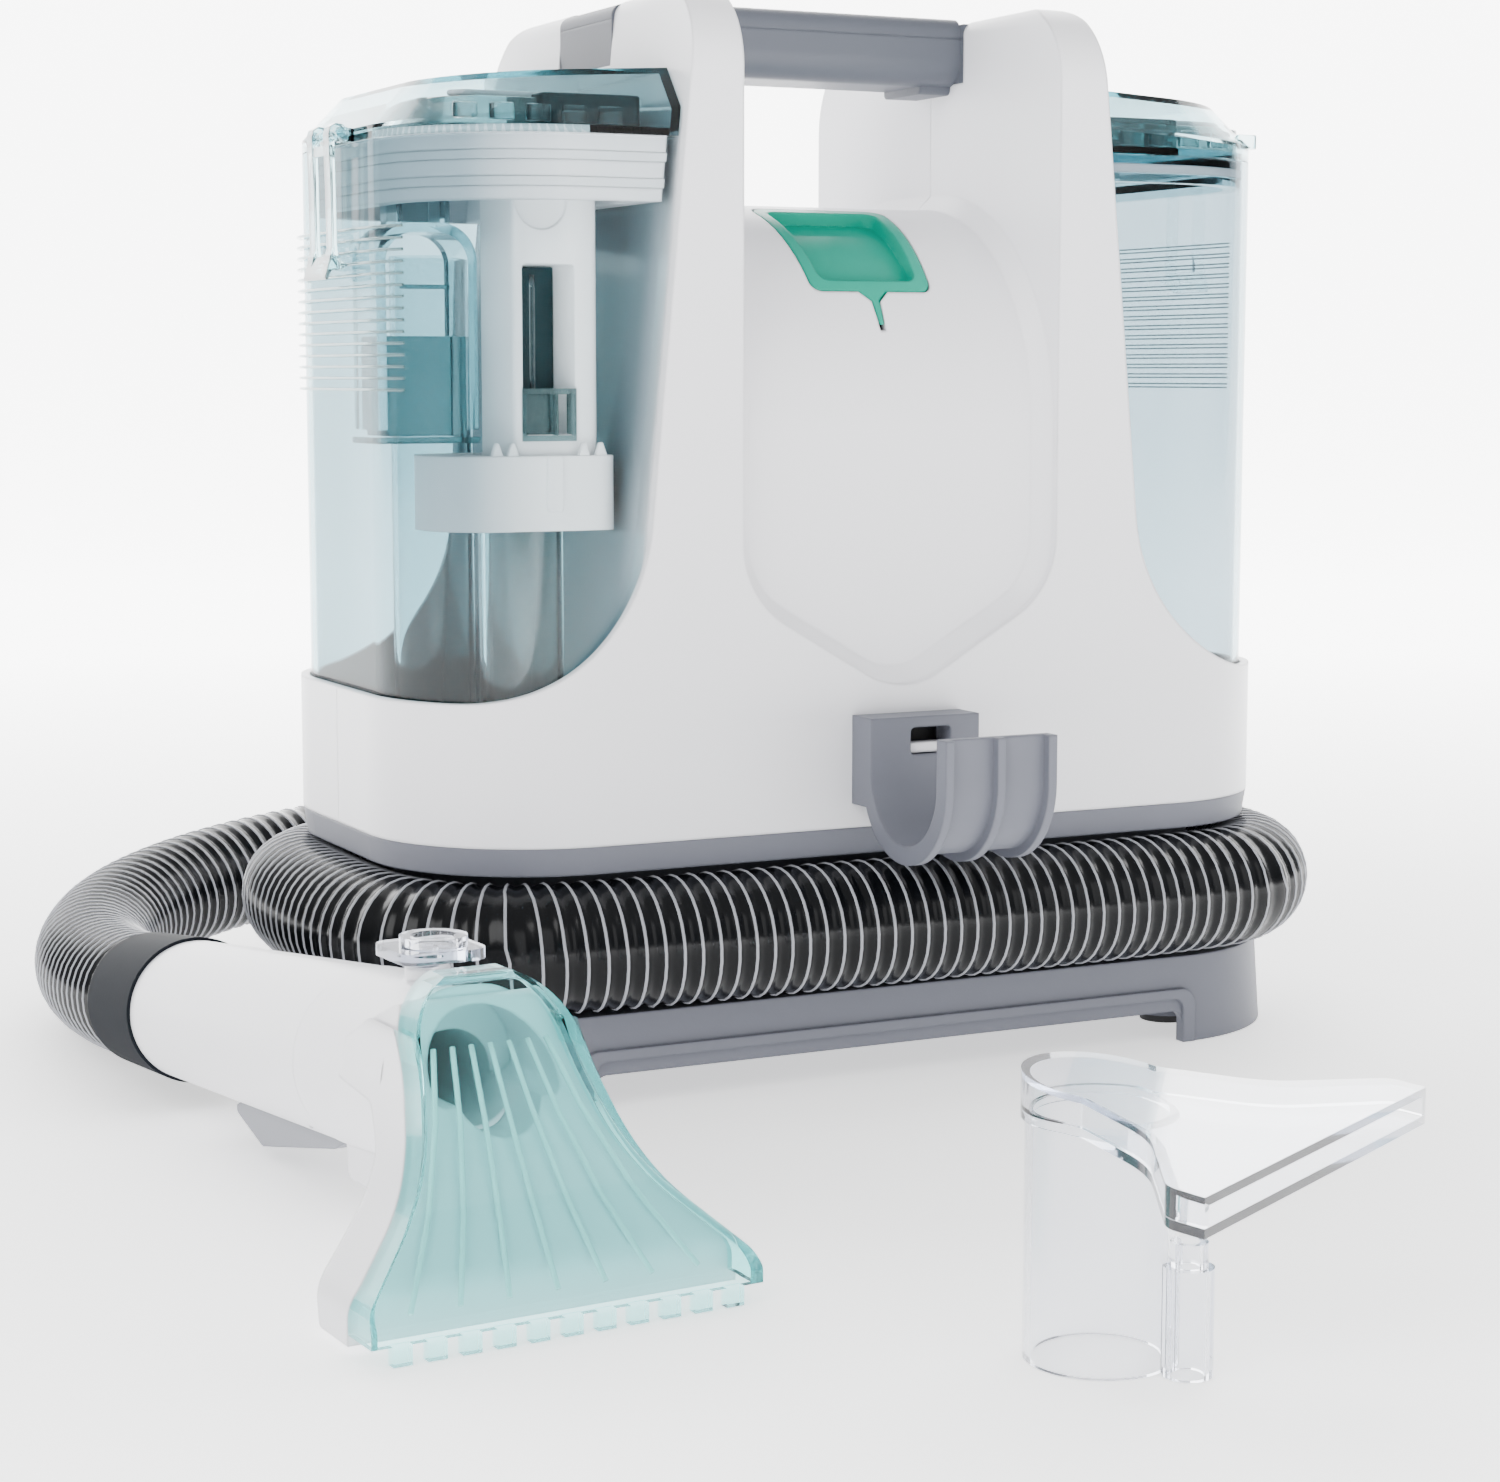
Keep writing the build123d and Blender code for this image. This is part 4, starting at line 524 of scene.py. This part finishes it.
for side, body, block in ((-1, "dirty_lid", slot_shade), (1, "clean_lid", deep_teal)):
    solid(body + "_insert", [lid_box(side, 84, 150, -63, 60, 307, 315.5, 12)], deep_teal, body, 0.8)
    # the block behind the bars: on the dirty lid it is painted shade, dark where the bars' slots are
    solid(body + "_block", [lid_box(side, 84, 118, -66.5, -30, 307.2, 317, 3)], block, body, 0.8)
    bars = []
    for k in range(BAR_COUNT):
        near = 92 + BAR_PITCH * k
        bars.append(lid_box(side, near, near + BAR_WIDTH, -70, -67.2, 308, 313, 1.2))
    solid(body + "_bars", bars, latch_clear, body, 0.5)
    # a pale band under the cover's top: a painted highlight along the lid
    solid(body + "_highlight_band", [lid_box(side, 86, 144, -58, -52, 315.6, 317.6, 2)], seal_pale, body, 0.8)

# ------------------------------------------------------------------ hand tool and its holder
TOOL_AT = (-203.5, -288.5)
TOOL_YAW = radians(4)
FLOW_COUNT = 7
FLOW_SHARE = 3.6        # rib spacings from the nozzle's middle to its edge
# up the nozzle's face from its lip: how far back, how high, and half the nozzle's width there
FLOW = ((9, 9, 47), (22.5, 27, 34), (36, 47, 24), (46.5, 63, 18.8))


def on_tool(x, y, z):
    """A point given in the hand tool's own axes, in millimetres, in the machine's."""
    return (TOOL_AT[0] + x * cos(TOOL_YAW) - y * sin(TOOL_YAW),
            TOOL_AT[1] + x * sin(TOOL_YAW) + y * cos(TOOL_YAW), z)


# a fan of ribs up the nozzle's face; their pale colour is a painted highlight of the streaks of light down it
for k in range(FLOW_COUNT):
    share = (k - FLOW_COUNT // 2) / FLOW_SHARE
    rod("flow_rib_" + str(k), [on_tool(share * half, y, z) for y, z, half in FLOW], 0.75, flow_sheen,
        "nozzle_cover", 10)
# a flat dark plate for the holder's slot: painted shade of its depth
solid("holder_slot_shade", [box(-4.6, 10.6, -91, -89.4, 108.4, 117.6)], inner, "root", 0.2)
solid("holder_bar", [box(-4.3, 10.3, -97, -92, 108.9, 112.2, 0.6)], white, "root", 0.4)

# ------------------------------------------------------------------ hose
HOSE_ROUTE = [(-100, 87.5, 52.5), (-123.7, 87.5, 52.5), (-150.8, 71.8, 52.5), (-166.5, 44.7, 52.5),
              (-166.5, -44.7, 52.5), (-150.8, -71.8, 52.5), (-123.7, -87.5, 52.5), (123.7, -87.5, 52.5),
              (150.8, -71.8, 52.5), (166.5, -44.7, 52.5), (166.5, 45, 52.8), (150, 92, 53), (105, 145, 50),
              (45, 182, 47), (-25, 205, 44), (-90, 212, 40), (-150, 200, 34), (-195, 168, 28),
              (-221, 118, 23.5), (-227.85, 59.66, 23.09), (-224.78, 15.76, 27.31)]

# metres
FILM_RADIUS = 0.0196
FILM_RISE = 0.0009
WIRE_PITCH = 0.0061
WIRE_RADIUS = 0.00058
WIRE_RUN = 0.02035
curve = bpy.data.curves.new("hose_line", "CURVE")
curve.dimensions = "3D"
spline = curve.splines.new("NURBS")
spline.points.add(len(HOSE_ROUTE) - 1)
for point, (x, y, z) in zip(spline.points, HOSE_ROUTE):
    point.co = (x * MM, y * MM, z * MM, 1)
spline.order_u = 3
spline.use_endpoint_u = True
curve.resolution_u = 16
line_object = bpy.data.objects.new("hose_line", curve)
bpy.context.scene.collection.objects.link(line_object)
bpy.context.view_layer.update()
line_mesh = bpy.data.meshes.new_from_object(line_object)
hose_points = [v.co.copy() for v in line_mesh.vertices]
bpy.data.objects.remove(line_object)

AROUND = 30             # points round the film, and along each turn of the wire
WIRE_SIDES = 6
RINGS_PER_TURN = 6
hose_frames, hose_length = sampled(hose_points, WIRE_PITCH / RINGS_PER_TURN)
hose_step = hose_length / (len(hose_frames) - 1)


def film_radius(i, j):
    """The film between the wire's turns sags inwards a little."""
    phase = (i * hose_step / WIRE_PITCH - j / AROUND) % 1
    return FILM_RADIUS + FILM_RISE * abs(cos(pi * phase)) ** 1.5


hose_film = tube_mesh("hose_film", hose_frames, film_radius, AROUND, smoke)
turns = int(hose_length / WIRE_PITCH) - 1
helix = []
for k in range(turns * AROUND):
    turn = k / AROUND + 0.5
    along = turn * WIRE_PITCH / hose_step
    i = int(along)
    spot, side, up = hose_frames[i]
    spot = spot.lerp(hose_frames[i + 1][0], along - i)
    angle = tau * turn
    helix.append(spot + WIRE_RUN * (cos(angle) * side + sin(angle) * up))
wire_verts = []
wire_faces = []
for k, spot in enumerate(helix):
    along = (helix[min(k + 1, len(helix) - 1)] - helix[max(k - 1, 0)]).normalized()
    i = min(int((k / AROUND + 0.5) * WIRE_PITCH / hose_step), len(hose_frames) - 1)
    out = (spot - hose_frames[i][0]).normalized()
    cross = along.cross(out).normalized()
    for j in range(WIRE_SIDES):
        angle = tau * j / WIRE_SIDES
        wire_verts.append(spot + WIRE_RADIUS * (cos(angle) * out + sin(angle) * cross))
for k in range(len(helix) - 1):
    for j in range(WIRE_SIDES):
        a, b = k * WIRE_SIDES + j, k * WIRE_SIDES + (j + 1) % WIRE_SIDES
        wire_faces.append((a, a + WIRE_SIDES, b + WIRE_SIDES, b))
hose_wire = add_mesh("hose_wire", wire_verts, wire_faces, wire)
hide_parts("hose")
for piece in (hose_film, hose_wire):
    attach(piece, "root")

# ------------------------------------------------------------------ stage and light
NEAR, FAR = (0.26, 1.0), (1.5, 5.6)     # distance from the middle, and how much the floor glows there
FLOOR_HALF = 5.0
FLOOR_FRONT = -3.0
BEND_START = 2.2
BEND_RADIUS = 1.2
BEND_STEPS = 12
WALL_TOP = 5.0
FLOOR_DROP = 0.0002     # keeps the floor's face clear of the feet
pale = shader("pale", (0.94, 0.94, 0.94), 0.75, tint_noise=0.003)
links = pale.node_tree.links
here = pale.node_tree.nodes.new("ShaderNodeNewGeometry")
reach = pale.node_tree.nodes.new("ShaderNodeVectorMath")
reach.operation = "LENGTH"
lift = pale.node_tree.nodes.new("ShaderNodeMapRange")
lift.inputs["From Min"].default_value, lift.inputs["To Min"].default_value = NEAR
lift.inputs["From Max"].default_value, lift.inputs["To Max"].default_value = FAR
links.new(here.outputs["Position"], reach.inputs[0])
links.new(reach.outputs["Value"], lift.inputs["Value"])
links.new(lift.outputs["Result"], pale.node_tree.nodes["Principled BSDF"].inputs["Emission Strength"])
floor_verts = []
profile = [(FLOOR_FRONT, 0.0), (BEND_START, 0.0)]
for step in range(1, BEND_STEPS + 1):
    angle = radians(90 * step / BEND_STEPS)
    profile.append((BEND_START + BEND_RADIUS * sin(angle), BEND_RADIUS - BEND_RADIUS * cos(angle)))
profile.append((BEND_START + BEND_RADIUS, WALL_TOP))
for y, z in profile:
    for x in (-FLOOR_HALF, FLOOR_HALF):
        floor_verts.append((x, y, z - FLOOR_DROP))
floor_faces = [(2 * i, 2 * i + 1, 2 * i + 3, 2 * i + 2) for i in range(len(profile) - 1)]
floor = add_mesh("floor", floor_verts, floor_faces, pale)
floor.rotation_euler = (0, 0, radians(CAMERA_TURN))

SKY_STRENGTH = 0.78
SKY = ((0.05, (0.20, 0.205, 0.22)), (0.60, (1, 1, 1)))     # height and colour
world = bpy.data.worlds.new("studio")
world.use_nodes = True
sky = world.node_tree.nodes
sky_place = sky.new("ShaderNodeTexCoord")
sky_split = sky.new("ShaderNodeSeparateXYZ")
sky_ramp = sky.new("ShaderNodeValToRGB")
for stop, (height, color) in zip(sky_ramp.color_ramp.elements, SKY):
    stop.position = height
    stop.color = (*color, 1)
world.node_tree.links.new(sky_place.outputs["Generated"], sky_split.inputs["Vector"])
world.node_tree.links.new(sky_split.outputs["Z"], sky_ramp.inputs["Fac"])
world.node_tree.links.new(sky_ramp.outputs["Color"], sky["Background"].inputs["Color"])
sky["Background"].inputs["Strength"].default_value = SKY_STRENGTH
bpy.context.scene.world = world
AIM = Vector((0, 0, 0.15))
for name, lamp_at, size, power in (("key", (-1.5, -0.9, 1.4), 1.3, 30),
                                   ("fill", (0.5, -1.9, 0.9), 1.5, 12),
                                   ("back", (0.1, 1.2, 1.7), 1.6, 14)):
    light = bpy.data.lights.new(name, "AREA")
    light.size = size
    light.energy = power
    lamp = bpy.data.objects.new(name, light)
    lamp.location = lamp_at
    lamp.rotation_euler = (AIM - Vector(lamp_at)).to_track_quat("-Z", "Y").to_euler()
    bpy.context.scene.collection.objects.link(lamp)
